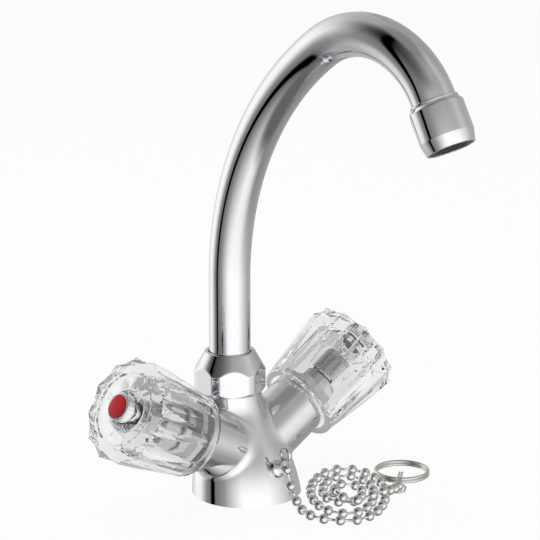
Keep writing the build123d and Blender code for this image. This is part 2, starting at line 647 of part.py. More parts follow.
def chain_clip():
    """Spring wire bent round the last ball, its two legs lying over the split ring."""
    ball = Vector(*RUN_POINTS[-1])
    ring_middle = Vector(RING_CENTRE[0], RING_CENTRE[1], ball.Z)
    way = (ring_middle - ball).normalized()
    across = Vector(way.Y, -way.X, 0)
    near = (ring_middle - ball).length - RING_RADIUS
    loop = BALL_RADIUS + CLIP_WIRE + 0.25
    over = 2 * 2 * RING_WIRE + CLIP_WIRE + 0.35 - ball.Z
    half = CLIP_WIRE + 0.12
    low = CLIP_WIRE + 0.05 - ball.Z
    # Half of the bent wire: distance across, distance towards the ring, height over the ball
    corners = [(half, near + 6.5, over - 0.9), (half, near + 2.2, over), (half, near - 2.4, over)]
    corners += [(half, loop + 1.6, low / 4), (loop, loop * 0.55, low / 2), (loop, -loop * 0.8, low * 0.8)]
    corners += [(0, -loop * 1.45, low)]
    corners += [(-x, y, z) for x, y, z in reversed(corners[:-1])]
    radii = [1.2, 1.2, 0.9, 1.0, 1.6, 2.0, 1.6, 1.0, 0.9, 1.2, 1.2]
    line = [ball + across * x + way * y + Vector(0, 0, z) for x, y, z in corners]
    path = Wire(FilletPolyline(*line, radius=radii).edges())
    section = Plane(origin=path @ 0, z_dir=path % 0) * Circle(CLIP_WIRE)
    return coil_frame() * sweep(section, path=path)


def split_ring():
    """Two turns of wire lying on each other, with the end laps left out."""
    low = Pos(RING_CENTRE[0], RING_CENTRE[1], RING_WIRE) * Torus(RING_RADIUS, RING_WIRE)
    high = Pos(0, 0, 2 * RING_WIRE - 0.1) * low
    return coil_frame() * (low + high)


def export(node, shape):
    export_step(shape, f"parts/{node}.step")


def export_valve_side(name, side):
    """One side's headwork, valve and knob, set along its arm."""
    frame = arm_frame(side)
    pieces = {
        "headwork_body": headwork_body(), "headwork_washer": headwork_washer(), "spindle": spindle(),
        "spindle_o_rings": spindle_o_rings(), "circlip": circlip(), "valve_plunger": valve_plunger(),
        "valve_washer": valve_washer(), "washer_screw": washer_screw(), "knob": knob(),
        "knob_insert": knob_insert(), "knob_screw": knob_screw(), "index_cap": index_cap(),
        "index_rim": index_rim(),
    }
    for piece, shape in pieces.items():
        export(f"{name}_{piece}", frame * shape)


os.makedirs("parts", exist_ok=True)

export("body_casting", body_casting())
export("base_gasket", base_gasket())
export("chain_stay", chain_stay())
export("spout_nut", spout_nut())
export("spout_slip_ring", spout_slip_ring())
export("spout_tube", spout_tube())
export("spout_bush", spout_bush())
export("spout_o_rings", spout_o_rings())

outlet = outlet_frame()
export("spout_end_nipple", outlet * spout_end_nipple())
export("aerator_housing", outlet * aerator_housing())
export("aerator_washer", outlet * aerator_washer())
export("aerator_screen", outlet * aerator_screen())
export("aerator_insert", outlet * aerator_insert())

export_valve_side("hot", -1)
export_valve_side("cold", 1)

balls = chain_route()
drop = [p for name, p in balls if name == "drop"]
coil = [p for name, p in balls if name == "coil"]
run = [p for name, p in balls if name == "run"]
print("least gap in the coil", round(least_gap(coil), 2))
print("least gap in the whole chain", round(least_gap(drop + coil + run), 2))
export("chain_coupling", chain_coupling())
export("chain_drop", ball_string(drop))
export("chain_coil", ball_string(coil, drop[-1]))
export("chain_run", ball_string(run, coil[-1]))
export("chain_clip", chain_clip())
export("split_ring", split_ring())
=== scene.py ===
from math import cos, pi, radians, sin

import bpy
import numpy as np
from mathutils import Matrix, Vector


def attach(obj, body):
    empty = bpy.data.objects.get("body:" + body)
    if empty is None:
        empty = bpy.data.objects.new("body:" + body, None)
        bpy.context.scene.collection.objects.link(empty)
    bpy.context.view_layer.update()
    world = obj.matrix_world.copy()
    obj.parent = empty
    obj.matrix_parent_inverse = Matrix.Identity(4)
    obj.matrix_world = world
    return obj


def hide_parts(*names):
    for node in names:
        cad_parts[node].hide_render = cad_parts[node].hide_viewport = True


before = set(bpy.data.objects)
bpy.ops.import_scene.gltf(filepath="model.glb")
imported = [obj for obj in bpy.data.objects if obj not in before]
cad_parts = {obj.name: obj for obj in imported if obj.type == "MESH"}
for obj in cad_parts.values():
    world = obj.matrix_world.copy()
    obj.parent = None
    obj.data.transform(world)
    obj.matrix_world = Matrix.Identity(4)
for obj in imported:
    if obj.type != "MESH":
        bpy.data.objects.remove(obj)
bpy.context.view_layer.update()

# Camera. The tap was photographed from about a metre away, a little above it and well round to
# its hot side, so that the spout points away to the right.
MM = 0.001
CAMERA_AZIMUTH = radians(-43.47)
CAMERA_PITCH = radians(14.74)
CAMERA_DISTANCE = 1062.5 * MM
CAMERA_TARGET = Vector((7.81, -7.40, 104.11)) * MM
CAMERA_LENS = 158.155

back = Vector((
    sin(CAMERA_AZIMUTH) * cos(CAMERA_PITCH),
    -cos(CAMERA_AZIMUTH) * cos(CAMERA_PITCH),
    sin(CAMERA_PITCH),
))
camera = bpy.data.objects.new("photo_camera", bpy.data.cameras.new("photo_camera"))
camera.data.sensor_width = 36.0
camera.data.lens = CAMERA_LENS
camera.data.clip_start = 0.05
camera.data.clip_end = 20.0
camera.location = CAMERA_TARGET + back * CAMERA_DISTANCE
camera.rotation_mode = "QUATERNION"
camera.rotation_quaternion = (-back).to_track_quat("-Z", "Y")
bpy.context.scene.collection.objects.link(camera)
bpy.context.scene.camera = camera


# Ball chain. Nickel-plated balls of thin brass, rolled over dumbbell pins, so the string bends
# freely. It hangs from the stay, lies in three oval loops and runs out over them to its clip.
BALL_RADIUS = 2.3 * MM
BALL_PITCH = 7.5 * MM
BALL_ARC_POINTS = 9
HOLE_ANGLE = radians(24)
LIP_DEPTH, LIP_DROP = 0.10 * MM, 0.14 * MM
PIN_RADIUS = 0.62 * MM
PIN_WAIST, PIN_NECK = 0.9 * PIN_RADIUS, 0.92 * PIN_RADIUS
PIN_NECK_GAP, PIN_END_GAP, PIN_INSIDE = 0.5 * MM, 0.1 * MM, 0.35 * MM
PIN_BENDS_FROM = 0.9 * BALL_RADIUS
CHAIN_SIDES = 18
COIL_CENTRE = (25.5, -38.5)
COIL_TURN = radians(-43.5)
COIL_HEIGHT = 2.3
# The route's control points, in millimetres in the coil's own frame.
DROP_POINTS = [
    (-26.6, -10.1, 16.8), (-25.6, -11.2, 12.0), (-24.0, -13.0, 6.8), (-21.8, -16.4, 2.9),
    (-20.2, -22.6, 2.3), (-16.6, -29.6, 2.3), (-9.6, -34.8, 2.3),
]
LOOP_REACHES = [36.0, 18.2, 32.0, 15.8, 27.5, 12.9, 23.0, 10.4, 13.0, 7.7, 12.0, 5.2]
RUN_POINTS = [
    (-5.7, -5.0, 3.9), (-4.6, -11.2, 7.7), (-1.2, -16.8, 5.4), (3.4, -19.6, 5.2),
    (9.4, -18.9, 7.4), (14.6, -15.4, 7.5), (18.0, -10.0, 7.2), (21.4, -2.6, 4.4), (24.6, 8.5, 2.3),
]


def coil_points(steps=8):
    """Oval loops: each quarter turn is an ellipse's quarter between one reach and the next."""
    points = []
    for k, (first, second) in enumerate(zip(LOOP_REACHES, LOOP_REACHES[1:])):
        for i in range(steps):
            angle = pi / 2 * (k + i / steps)
            depth, width = (first, second) if k % 2 == 0 else (second, first)
            points.append((width * sin(angle), -depth * cos(angle), COIL_HEIGHT))
    points.append((-LOOP_REACHES[-1], 0.0, COIL_HEIGHT))
    return points


def on_the_basin(points):
    """Points of the coil's own frame, in millimetres, as points beside the tap, in metres."""
    p = np.array(points, float)
    x = COIL_CENTRE[0] + p[:, 0] * cos(COIL_TURN) - p[:, 1] * sin(COIL_TURN)
    y = COIL_CENTRE[1] + p[:, 0] * sin(COIL_TURN) + p[:, 1] * cos(COIL_TURN)
    return np.column_stack([x, y, p[:, 2]]) * MM


def smooth_line(points):
    """The line of a NURBS spline with these control points, as an array of points on it."""
    curve = bpy.data.curves.new("line", "CURVE")
    curve.dimensions = "3D"
    spline = curve.splines.new("NURBS")
    spline.points.add(len(points) - 1)
    spline.points.foreach_set("co", np.column_stack([points, np.ones(len(points))]).ravel())
    spline.order_u = 3
    spline.use_endpoint_u = True
    spline.resolution_u = 12
    holder = bpy.data.objects.new("line", curve)
    line = bpy.data.meshes.new_from_object(holder)
    found = np.empty(len(line.vertices) * 3)
    line.vertices.foreach_get("co", found)
    bpy.data.objects.remove(holder)
    bpy.data.curves.remove(curve)
    bpy.data.meshes.remove(line)
    return found.reshape(-1, 3)


def along(line, distances):
    """Points on a line at these distances from its start."""
    steps = np.linalg.norm(np.diff(line, axis=0), axis=1)
    reached = np.concatenate([[0.0], np.cumsum(steps)])
    return np.column_stack([np.interp(distances, reached, line[:, axis]) for axis in range(3)])


def line_length(line):
    """Sum of the steps from point to point."""
    return float(np.linalg.norm(np.diff(line, axis=0), axis=1).sum())


def linear(hex_colour):
    """An sRGB hex colour as linear red, green, blue and alpha: a straight toe, then a power of 2.4."""
    parts = [int(hex_colour[i:i + 2], 16) / 255 for i in (0, 2, 4)]
    return tuple(c / 12.92 if c <= 0.04045 else ((c + 0.055) / 1.055) ** 2.4 for c in parts) + (1.0,)


def add(tree, kind, sockets=None, **settings):
    """Adds one shader node: settings are its own, sockets its inputs' values or what feeds them."""
    made = tree.nodes.new("ShaderNode" + kind)
    for key, value in settings.items():
        setattr(made, key, value)
    for name, value in (sockets or {}).items():
        if isinstance(value, bpy.types.NodeSocket):
            tree.links.new(value, made.inputs[name])
        else:
            made.inputs[name].default_value = value
    return made


def empty_material(name):
    """A new material with nothing in its tree."""
    made = bpy.data.materials.new(name)
    made.use_nodes = True
    made.node_tree.nodes.clear()
    return made


def mottled(name, dark, light, grain, strength, depth, roughness, metallic=0.0):
    """A finish whose one noise gives tone and relief and, where it is a map's ends, roughness too."""
    made = empty_material(name)
    tree = made.node_tree
    size, detail, breakup = grain
    place = add(tree, "TexCoord").outputs["Object"]
    noise = add(tree, "TexNoise", {"Vector": place, "Scale": 1 / size, "Detail": detail,
                                   "Roughness": breakup}).outputs["Fac"]
    tone = add(tree, "ValToRGB", {"Fac": noise})
    tone.color_ramp.elements[0].color = linear(dark)
    tone.color_ramp.elements[1].color = linear(light)
    if isinstance(roughness, dict):
        roughness = add(tree, "MapRange", {"Value": noise, **roughness}).outputs["Result"]
    bump = add(tree, "Bump", {"Height": noise, "Strength": strength, "Distance": depth})
    skin = add(tree, "BsdfPrincipled", {"Base Color": tone.outputs["Color"], "Metallic": metallic,
                                        "Roughness": roughness, "Normal": bump.outputs["Normal"]})
    add(tree, "OutputMaterial", {"Surface": skin.outputs["BSDF"]})
    return made


def grid_faces(rows, columns, close_rows=False):
    """Four-sided faces between neighbours of a grid of points whose rows each run round and close."""
    r = np.arange(rows if close_rows else rows - 1)[:, None]
    c = np.arange(columns)[None, :]
    r2, c2 = (r + 1) % rows, (c + 1) % columns
    corners = [r * columns + c, r * columns + c2, r2 * columns + c2, r2 * columns + c]
    return np.stack([np.broadcast_to(corner, (r.size, c.size)) for corner in corners], -1).reshape(-1, 4)


def make_piece(name, points, faces, body, material):
    """A smooth mesh object from points in metres and faces, riding on a body in a slot's finish."""
    mesh = bpy.data.meshes.new(name)
    mesh.from_pydata(np.asarray(points, float).reshape(-1, 3).tolist(), [], [tuple(face) for face in faces])
    mesh.polygons.foreach_set("use_smooth", [True] * len(mesh.polygons))
    mesh.materials.append(material)
    mesh.validate()
    mesh.update()
    made = bpy.data.objects.new(name, mesh)
    bpy.context.scene.collection.objects.link(made)
    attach(made, body)
    return made


def frames_along(ways):
    """Two unit vectors square to each way: one level, the other making a right-handed set."""
    side = np.cross(ways, (0.0, 0.0, 1.0))
    side /= np.linalg.norm(side, axis=1, keepdims=True)
    return side, np.cross(side, ways)


def directions(sides):
    """Angles evenly round an axis."""
    return np.linspace(0, 2 * pi, sides, endpoint=False)


# Nickel plate, barrel-plated over brass: bright and slightly warm, with the faint dulling and
# fine rubbing of a chain that has been handled.
nickel = mottled(
    "nickel_plate_barrel_plated", "DAD9D6", "EDECEA", grain=(1.1 * MM, 3.0, 0.6),
    strength=0.04, depth=0.03 * MM,
    roughness={"From Min": 0.35, "From Max": 0.75, "To Min": 0.0, "To Max": 0.05}, metallic=1.0,
)


def chain_profile():
    """Distance and radius along one pitch: pin's waist, hole's lip and ball's arc, then the same mirrored."""
    arc = np.linspace(HOLE_ANGLE, pi / 2, BALL_ARC_POINTS)
    ball = np.column_stack([-BALL_RADIUS * np.cos(arc), BALL_RADIUS * np.sin(arc)])
    hole = -BALL_RADIUS * cos(HOLE_ANGLE)
    lip = [(hole + LIP_DEPTH, BALL_RADIUS * sin(HOLE_ANGLE) - LIP_DROP)]
    pin = [(-BALL_PITCH / 2, PIN_WAIST), (-BALL_RADIUS - PIN_NECK_GAP, PIN_NECK),
           (-BALL_RADIUS - PIN_END_GAP, PIN_RADIUS), (hole + PIN_INSIDE, PIN_RADIUS)]
    half = np.array(pin + lip + ball.tolist())
    other = half[-2::-1] * [-1, 1]
    return np.vstack([half, other])


def chain_mesh(line, count):
    """The profile carried from ball to ball, its ends bent to the points half way to the neighbours."""
    balls = along(line, np.arange(count) * line_length(line) / (count - 1))
    ways = np.gradient(balls, axis=0)
    ways /= np.linalg.norm(ways, axis=1, keepdims=True)
    side, up = frames_along(ways)
    profile = chain_profile()
    reach, radius = profile[:, :1], profile[:, 1]
    bent = np.clip((np.abs(reach) - PIN_BENDS_FROM) / (BALL_PITCH / 2 - PIN_BENDS_FROM), 0, 1)
    turn = directions(CHAIN_SIDES)
    points, faces = [], []
    for i in range(count):
        before, after = balls[max(i - 1, 0)], balls[min(i + 1, count - 1)]
        middle = np.where(reach < 0, (balls[i] + before) / 2, (balls[i] + after) / 2)
        straight_end = balls[i] + np.sign(reach) * ways[i] * BALL_PITCH / 2
        spine = balls[i] + ways[i] * reach + (middle - straight_end) * bent
        ring = np.cos(turn)[None, :, None] * side[i] + np.sin(turn)[None, :, None] * up[i]
        points.append((spine[:, None, :] + ring * radius[:, None, None]).reshape(-1, 3))
        faces.append(grid_faces(len(profile), CHAIN_SIDES) + i * len(profile) * CHAIN_SIDES)
    return np.vstack(points), np.vstack(faces)


route = on_the_basin(DROP_POINTS + coil_points() + RUN_POINTS)
chain_line = smooth_line(route)
BALL_COUNT = round(line_length(chain_line) / BALL_PITCH) + 1
points, faces = chain_mesh(chain_line, BALL_COUNT)
chain = make_piece("ball_chain", points, faces, "tap_body", nickel)
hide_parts("chain_drop", "chain_coil", "chain_run")
chain.visible_glossy = False  # the photograph shows no chain in the casting

# Coupling, clip and split ring. The coupling is a small closed wire ring; the clip is spring wire
# bent round the last ball, and the split ring is two turns of round spring wire.
# Nickel plate on spring wire: bright and slightly warm, a little duller than the chain's balls.
wire = mottled(
    "nickel_plated_spring_wire", "D4D2CB", "ECEAE4", grain=(0.4 * MM, 4.0, 0.65),
    strength=0.1, depth=0.02 * MM,
    roughness={"From Min": 0.3, "From Max": 0.7, "To Min": 0.06, "To Max": 0.16}, metallic=1.0,
)


def dress(material, *nodes):
    """Gives carried-over nodes a material of this scene."""
    for node in nodes:
        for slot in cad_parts[node].material_slots:
            slot.material = material


dress(wire, "chain_coupling", "chain_clip", "split_ring")

# Body casting. One brass casting with a flared foot and two upswept arms, ground, polished and
# chrome plated; its bores and the groove under its foot are machined afterwards.
TRUNK_SECTIONS = np.array([
    (0.0, 25.0, 0.0), (6.0, 24.2, 0.8), (13.0, 22.8, 1.9), (21.0, 20.6, 3.9),
    (30.0, 17.7, 7.1), (38.0, 15.4, 9.8), (45.5, 14.3, 10.9),
])
SHOULDER = 45.5
NECK_SETBACK = 10.9
NECK_TOP, NECK_THREAD_RADIUS = 54.0, 13.15
ARM_ROOT = np.array([0.0, 1.4, 15.8])
ARM_RADIUS, ARM_LENGTH, ARM_TILT = 14.4, 41.0, radians(28.4)
CREASE_BLEND = 2.4
BLANK_LOW, BLANK_HIGH, BLANK_ARM, BLANK_RINGS = -4.0, 57.0, 44.0, 60
SKIN_STEP, SKIN_EDGE = 0.75, radians(32)
# What is machined away: outlines of radius and height, and drums of radius, low end and high end.
FOOT_OFFCUT, ARM_OFFCUT = (60, -9, 0), (30, ARM_LENGTH, 60)
NECK_OFFCUT = [(0, NECK_TOP), (NECK_THREAD_RADIUS, NECK_TOP), (NECK_THREAD_RADIUS, SHOULDER),
               (22, SHOULDER), (22, 70), (0, 70)]
NECK_AXIS, NECK_BORE = (0, NECK_SETBACK, 0), (11.1, 33, 56)
VALVE_BORE = [(0, 7), (5.0, 7), (5.0, 17), (9.4, 17), (9.4, 43), (0, 43)]
SUPPLY_BORE = [(0, -2), (4.6, -2), (4.6, 10), (4.0, 10), (4.0, 20.3), (0, 20.3)]
SUPPLY_OUT, SUPPLY_BACK = 8.5, 1.4
STUD_AXIS, STUD_HOLE = (0, -13, 0), (3.4, -1, 10)
GASKET_GROOVE = [(22.4, -1), (22.4, 2.0), (19.6, 2.0), (19.6, -1)]


def chrome(name, wave, waviness, haze):
    """Chrome plate: a mirror with a faint wave from hand polishing and a breath of haze in patches."""
    made = empty_material(name)
    tree = made.node_tree
    place = add(tree, "TexCoord").outputs["Object"]
    ripple = add(tree, "TexNoise", {"Vector": place, "Scale": 1 / wave, "Detail": 1.0, "Roughness": 0.4})
    breath = add(tree, "TexNoise", {"Vector": place, "Scale": 1 / (9 * MM), "Detail": 5.0, "Roughness": 0.6})
    polish = add(tree, "MapRange", {"Value": breath.outputs["Fac"], "From Min": 0.4, "From Max": 0.75,
                                    "To Min": 0.025, "To Max": haze})
    tone = add(tree, "ValToRGB", {"Fac": breath.outputs["Fac"]})
    tone.color_ramp.elements[0].color = linear("E4E5E7")
    tone.color_ramp.elements[1].color = linear("E9E9EA")
    bump = add(tree, "Bump", {"Height": ripple.outputs["Fac"], "Strength": waviness, "Distance": 0.02 * MM})
    skin = add(tree, "BsdfPrincipled", {"Base Color": tone.outputs["Color"], "Metallic": 1.0,
                                        "Roughness": polish.outputs["Result"],
                                        "Normal": bump.outputs["Normal"]})
    add(tree, "OutputMaterial", {"Surface": skin.outputs["BSDF"]})
    return made


def turned_round(radius, height, turn):
    """Points from radius, height and direction: radius times cosine, radius times sine, height."""
    found = np.broadcast_arrays(radius * np.cos(turn), radius * np.sin(turn), height)
    return np.stack(found, -1).reshape(-1, 3)


def lathe(profile, sides=144, closed=False):
    """Turns a profile of radius and height about the axis; an open one ends in a point at each pole."""
    profile = np.asarray(profile, float)
    rows = profile if closed else profile[1:-1]
    points = turned_round(rows[:, :1], rows[:, 1:], directions(sides))
    faces = grid_faces(len(rows), sides, close_rows=closed).tolist()
    if not closed:
        first, last = len(points), len(points) + 1
        points = np.vstack([points, [[0, 0, profile[0, 1]], [0, 0, profile[-1, 1]]]])
        here = np.arange(sides)
        beside = (here + 1) % sides
        top = (len(rows) - 1) * sides
        faces += np.column_stack([beside, here, np.full(sides, first)]).tolist()
        faces += np.column_stack([top + here, top + beside, np.full(sides, last)]).tolist()
    return points, faces


def placed(points, origin, x_way, z_way):
    """Points of a local frame in millimetres as points of the object: its x and z are given, y follows."""
    x_way, z_way = np.asarray(x_way, float), np.asarray(z_way, float)
    return np.asarray(origin) + points @ np.array([x_way, np.cross(z_way, x_way), z_way])


def arm_way(side):
    """Unit vector out along an arm: -1 is the hot side, 1 the cold side."""
    return np.array([side * cos(ARM_TILT), 0.0, sin(ARM_TILT)])


def on_arm(points, side):
    """Points about an arm's axis, height being the station from where the axes cross."""
    return placed(points, ARM_ROOT, (0, side, 0), arm_way(side))


def on_both_arms(shell):
    """A shell about an arm's axis, once on each arm."""
    return [(on_arm(shell[0], side), shell[1]) for side in (-1, 1)]


def several(shells):
    """Joins shells of points and faces in one pair."""
    starts = np.cumsum([0] + [len(points) for points, _ in shells[:-1]])
    faces = [[corner + start for corner in face] for start, (_, fs) in zip(starts, shells) for face in fs]
    return np.vstack([points for points, _ in shells]), faces


def smooth_through(stations, values):
    """Natural cubic spline: the bends at the stations solve the system that makes the slopes meet."""
    gap = np.diff(stations)
    rise = np.diff(values, axis=0) / gap[:, None]
    system = np.eye(len(stations))
    inner = np.arange(1, len(stations) - 1)
    system[inner, inner - 1], system[inner, inner + 1] = gap[:-1], gap[1:]
    system[inner, inner] = 2 * (gap[:-1] + gap[1:])
    target = np.zeros_like(values)
    target[1:-1] = 6 * np.diff(rise, axis=0)
    bend = np.linalg.solve(system, target)

    def read(at):
        k = np.clip(np.searchsorted(stations, at) - 1, 0, len(gap) - 1)
        a = ((stations[k + 1] - at) / gap[k])[:, None]
        b, h = 1 - a, gap[k][:, None]
        curve = (a ** 3 - a) * bend[k] + (b ** 3 - b) * bend[k + 1]
        return a * values[k] + b * values[k + 1] + curve * h ** 2 / 6
    return read


trunk = smooth_through(TRUNK_SECTIONS[:, 0], TRUNK_SECTIONS[:, 1:])


def trunk_at(heights):
    """The trunk's radius and setback at each height; above the shoulder they stay as they are there."""
    return trunk(np.clip(heights, BLANK_LOW, SHOULDER))


def soft_least(a, b, edge):
    """The lesser of two values, less a quarter of the edge times the square of their nearness within it."""
    meeting = np.maximum(edge - np.abs(a - b), 0) / edge
    return np.minimum(a, b) - meeting ** 2 * edge / 4


def body_distance(p):
    """Smooth least of the distances to the trunk and to both arms: the casting's blank, to be cut to size."""
    radius, back = trunk_at(p[:, 2]).T
    found = np.hypot(p[:, 0], p[:, 1] - back) - radius
    found = np.maximum(found, np.maximum(p[:, 2] - BLANK_HIGH, BLANK_LOW - p[:, 2]))
    for side in (-1, 1):
        from_root = p - ARM_ROOT
        station = from_root @ arm_way(side)
        off_axis = from_root - np.maximum(station, 0)[:, None] * arm_way(side)
        arm = np.maximum(np.linalg.norm(off_axis, axis=1) - ARM_RADIUS, station - BLANK_ARM)
        found = soft_least(found, arm, CREASE_BLEND)
    return found


def slope_of(field, p, step=0.02):
    """Gradient of a field by central differences along x, y and z."""
    return np.column_stack([
        (field(p + step * axis) - field(p - step * axis)) / (2 * step) for axis in np.eye(3)
    ])


def drawn_onto(field, points, steps=6):
    """Newton's steps onto a field's surface, each down the slope by the value over the slope squared."""
    for _ in range(steps):
        slope = slope_of(field, points)
        points = points - (field(points) / (slope ** 2).sum(1))[:, None] * slope
    return points


def settled(piece):
    """Makes what the piece's modifiers give its own mesh."""
    found = bpy.data.meshes.new_from_object(piece.evaluated_get(bpy.context.evaluated_depsgraph_get()))
    old, piece.data = piece.data, found
    piece.modifiers.clear()
    bpy.data.meshes.remove(old)


def mesh_points(mesh):
    """A mesh's vertices as an array."""
    found = np.empty(len(mesh.vertices) * 3)
    mesh.vertices.foreach_get("co", found)
    return found.reshape(-1, 3)


def cut_away(piece, shells):
    """Takes closed shells, in millimetres, out of a piece."""
    points, faces = several(shells)
    mesh = bpy.data.meshes.new("cutter")
    mesh.from_pydata((points * MM).tolist(), [], faces)
    cutter = bpy.data.objects.new("cutter", mesh)
    bpy.context.scene.collection.objects.link(cutter)
    cut = piece.modifiers.new("cut", "BOOLEAN")
    cut.operation, cut.solver, cut.object = "DIFFERENCE", "EXACT", cutter
    bpy.context.view_layer.update()
    settled(piece)
    bpy.data.objects.remove(cutter)
    bpy.data.meshes.remove(mesh)


def drum(radius, low, high, sides=96):
    """Plain closed cylinder about the local axis."""
    return lathe([(0, low), (radius, low), (radius, high), (0, high)], sides)


def moved(shell, origin):
    """A shell with an upright axis, set at a place."""
    return shell[0] + np.asarray(origin), shell[1]


cast_chrome = chrome("chrome_on_polished_casting", wave=14 * MM, waviness=0.05, haze=0.07)
heights = np.linspace(BLANK_LOW, BLANK_HIGH, BLANK_RINGS)
trunk_points, trunk_faces = lathe(np.vstack([
    [(0, BLANK_LOW)], np.column_stack([trunk_at(heights)[:, 0], heights]), [(0, BLANK_HIGH)],
]))
trunk_points[:, 1] += trunk_at(trunk_points[:, 2])[:, 1]
blank = several([(trunk_points, trunk_faces)] + on_both_arms(drum(ARM_RADIUS, 0, BLANK_ARM)))
body = make_piece("body_casting_skin", blank[0] * MM, blank[1], "tap_body", cast_chrome)
remesh = body.modifiers.new("skin", "REMESH")
remesh.mode, remesh.voxel_size, remesh.use_smooth_shade = "VOXEL", SKIN_STEP * MM, True
bpy.context.view_layer.update()
settled(body)
skin_points = drawn_onto(body_distance, mesh_points(body.data) / MM)
body.data.vertices.foreach_set("co", (skin_points * MM).ravel())
body.data.update()

cut_away(body, [drum(*FOOT_OFFCUT), moved(lathe(NECK_OFFCUT), NECK_AXIS)] + on_both_arms(drum(*ARM_OFFCUT)))
cut_away(body, [moved(drum(*NECK_BORE), NECK_AXIS)] + on_both_arms(lathe(VALVE_BORE)))
cut_away(body, [moved(lathe(SUPPLY_BORE), (side * SUPPLY_OUT, SUPPLY_BACK, 0)) for side in (-1, 1)]
         + [moved(drum(*STUD_HOLE), STUD_AXIS), lathe(GASKET_GROOVE, closed=True)])
body.data.materials.clear()
body.data.materials.append(cast_chrome)
body.data.set_sharp_from_angle(angle=SKIN_EDGE)
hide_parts("body_casting")


def true_normals(piece, field, near=0.02, within=radians(20)):
    """Shades faces near a field's surface with its slope, where the angle between the two is small."""
    mesh = piece.data
    points = mesh_points(mesh) / MM
    slope = slope_of(field, points)
    slope /= np.linalg.norm(slope, axis=1, keepdims=True)
    on_it = np.abs(field(points)) < near
    corner = np.empty(len(mesh.loops), int)
    mesh.loops.foreach_get("vertex_index", corner)
    flat = np.empty(len(mesh.polygons) * 3)
    mesh.polygons.foreach_get("normal", flat)
    sizes = np.empty(len(mesh.polygons), int)
    mesh.polygons.foreach_get("loop_total", sizes)
    face_way = np.repeat(flat.reshape(-1, 3), sizes, axis=0)
    agrees = on_it[corner] & ((slope[corner] * face_way).sum(1) > cos(within))
    mesh.normals_split_custom_set(np.where(agrees[:, None], slope[corner], 0.0).tolist())


true_normals(body, body_distance)

# Base gasket and chain stay. The gasket is a rubber ring pressed in its groove; the stay is a turned
# stud with a domed collar and an eye, plated with the casting and screwed into the trunk's front.
# Black rubber from a mould: dark grey and matt, with a fine grain.
rubber = mottled("black_rubber_moulded", "1B1B1C", "2C2C2D", grain=(0.25 * MM, 3.0, 0.5),
                 strength=0.3, depth=0.03 * MM, roughness=0.7)

dress(rubber, "base_gasket")
dress(cast_chrome, "chain_stay")

# Spout nut. A turned blank with a cone on top, on which six flats are milled; plated like the
# casting. It is screwed on the neck and holds the slip ring and the bush's flange down.
NUT_FOOT, NUT_CORNER_FOOT, NUT_CONE_FOOT, NUT_TOP = 45.55, 47.1, 55.6, 64.2
NUT_ACROSS_FLATS, NUT_BLANK_RADIUS, NUT_TOP_RADIUS = 30.0, 16.3, 11.5
NUT_CORNER_RADIUS, NUT_CORNER_AT = NUT_ACROSS_FLATS / 2 / cos(pi / 6), radians(24)
NUT_HOLE, NUT_THREAD, NUT_CEILING = 9.8, 13.2, 57.0
NUT_CHAMFER, NUT_EDGE, NUT_LIP, NUT_LIP_INSET = 1.6, 0.35, 0.2, 0.25
NUT_SIDES, NUT_FLANK_RINGS = 384, 90


def polygon(turn, corners, radius, flat_at=0.0):
    """Radius of a regular polygon in each direction: a flat's distance over the cosine from the flat."""
    sector = 2 * pi / corners
    return radius * cos(sector / 2) / np.cos((turn - flat_at + sector / 2) % sector - sector / 2)


turned_chrome = chrome("chrome_on_turned_brass", wave=9 * MM, waviness=0.03, haze=0.05)
turn = directions(NUT_SIDES)
flank = np.linspace(NUT_FOOT, NUT_TOP, NUT_FLANK_RINGS)
blank_radius = np.interp(
    flank, [NUT_FOOT, NUT_CORNER_FOOT, NUT_CONE_FOOT, NUT_TOP],
    [NUT_BLANK_RADIUS - NUT_CHAMFER, NUT_BLANK_RADIUS, NUT_BLANK_RADIUS, NUT_TOP_RADIUS],
)
flats = polygon(turn, 6, NUT_CORNER_RADIUS, NUT_CORNER_AT + pi / 6)
outer = soft_least(blank_radius[:, None], flats[None, :], NUT_EDGE)
inner = np.array([
    (NUT_TOP_RADIUS - NUT_LIP_INSET, NUT_TOP + NUT_LIP), (NUT_HOLE + NUT_LIP, NUT_TOP + NUT_LIP),
    (NUT_HOLE, NUT_TOP), (NUT_HOLE, NUT_CEILING), (NUT_THREAD, NUT_CEILING), (NUT_THREAD, NUT_FOOT),
])
radius = np.vstack([outer, np.broadcast_to(inner[:, :1], (len(inner), NUT_SIDES))])
points = turned_round(radius, np.concatenate([flank, inner[:, 1]])[:, None], turn)
nut = make_piece(
    "spout_nut_shell", (points + np.array(NECK_AXIS)) * MM,
    grid_faces(len(radius), NUT_SIDES, close_rows=True), "tap_body", turned_chrome,
)
nut.data.set_sharp_from_angle(angle=radians(40))
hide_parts("spout_nut")

# Slip ring. A flat ring turned from white acetal. It lies loose between the flange of the spout's
# bush and the ceiling of the nut, so that the spout turns easily.
# White acetal, turned: ivory white with a soft sheen.
acetal = mottled("white_acetal", "E4E3DD", "EFEEEA", grain=(1.5 * MM, 3.0, 0.5),
                 strength=0.1, depth=0.03 * MM, roughness=0.38)

dress(acetal, "spout_slip_ring")

# Spout tube. Drawn brass tube, bent cold over a mandrel in three tangent bends, polished and plated;
# it is brazed in its bush below and on its outlet nipple in front.
TUBE_RADIUS, TUBE_WALL = 9.4, 1.2
TUBE_FOOT, BEND_START, OUTLET_STRAIGHT = 36.0, 98.2, 1.7
SPOUT_BENDS = [(137.0, radians(55.2)), (44.8, radians(81.5)), (34.4, radians(14.4))]
TUBE_STEP, TUBE_SIDES = 1.0, 128


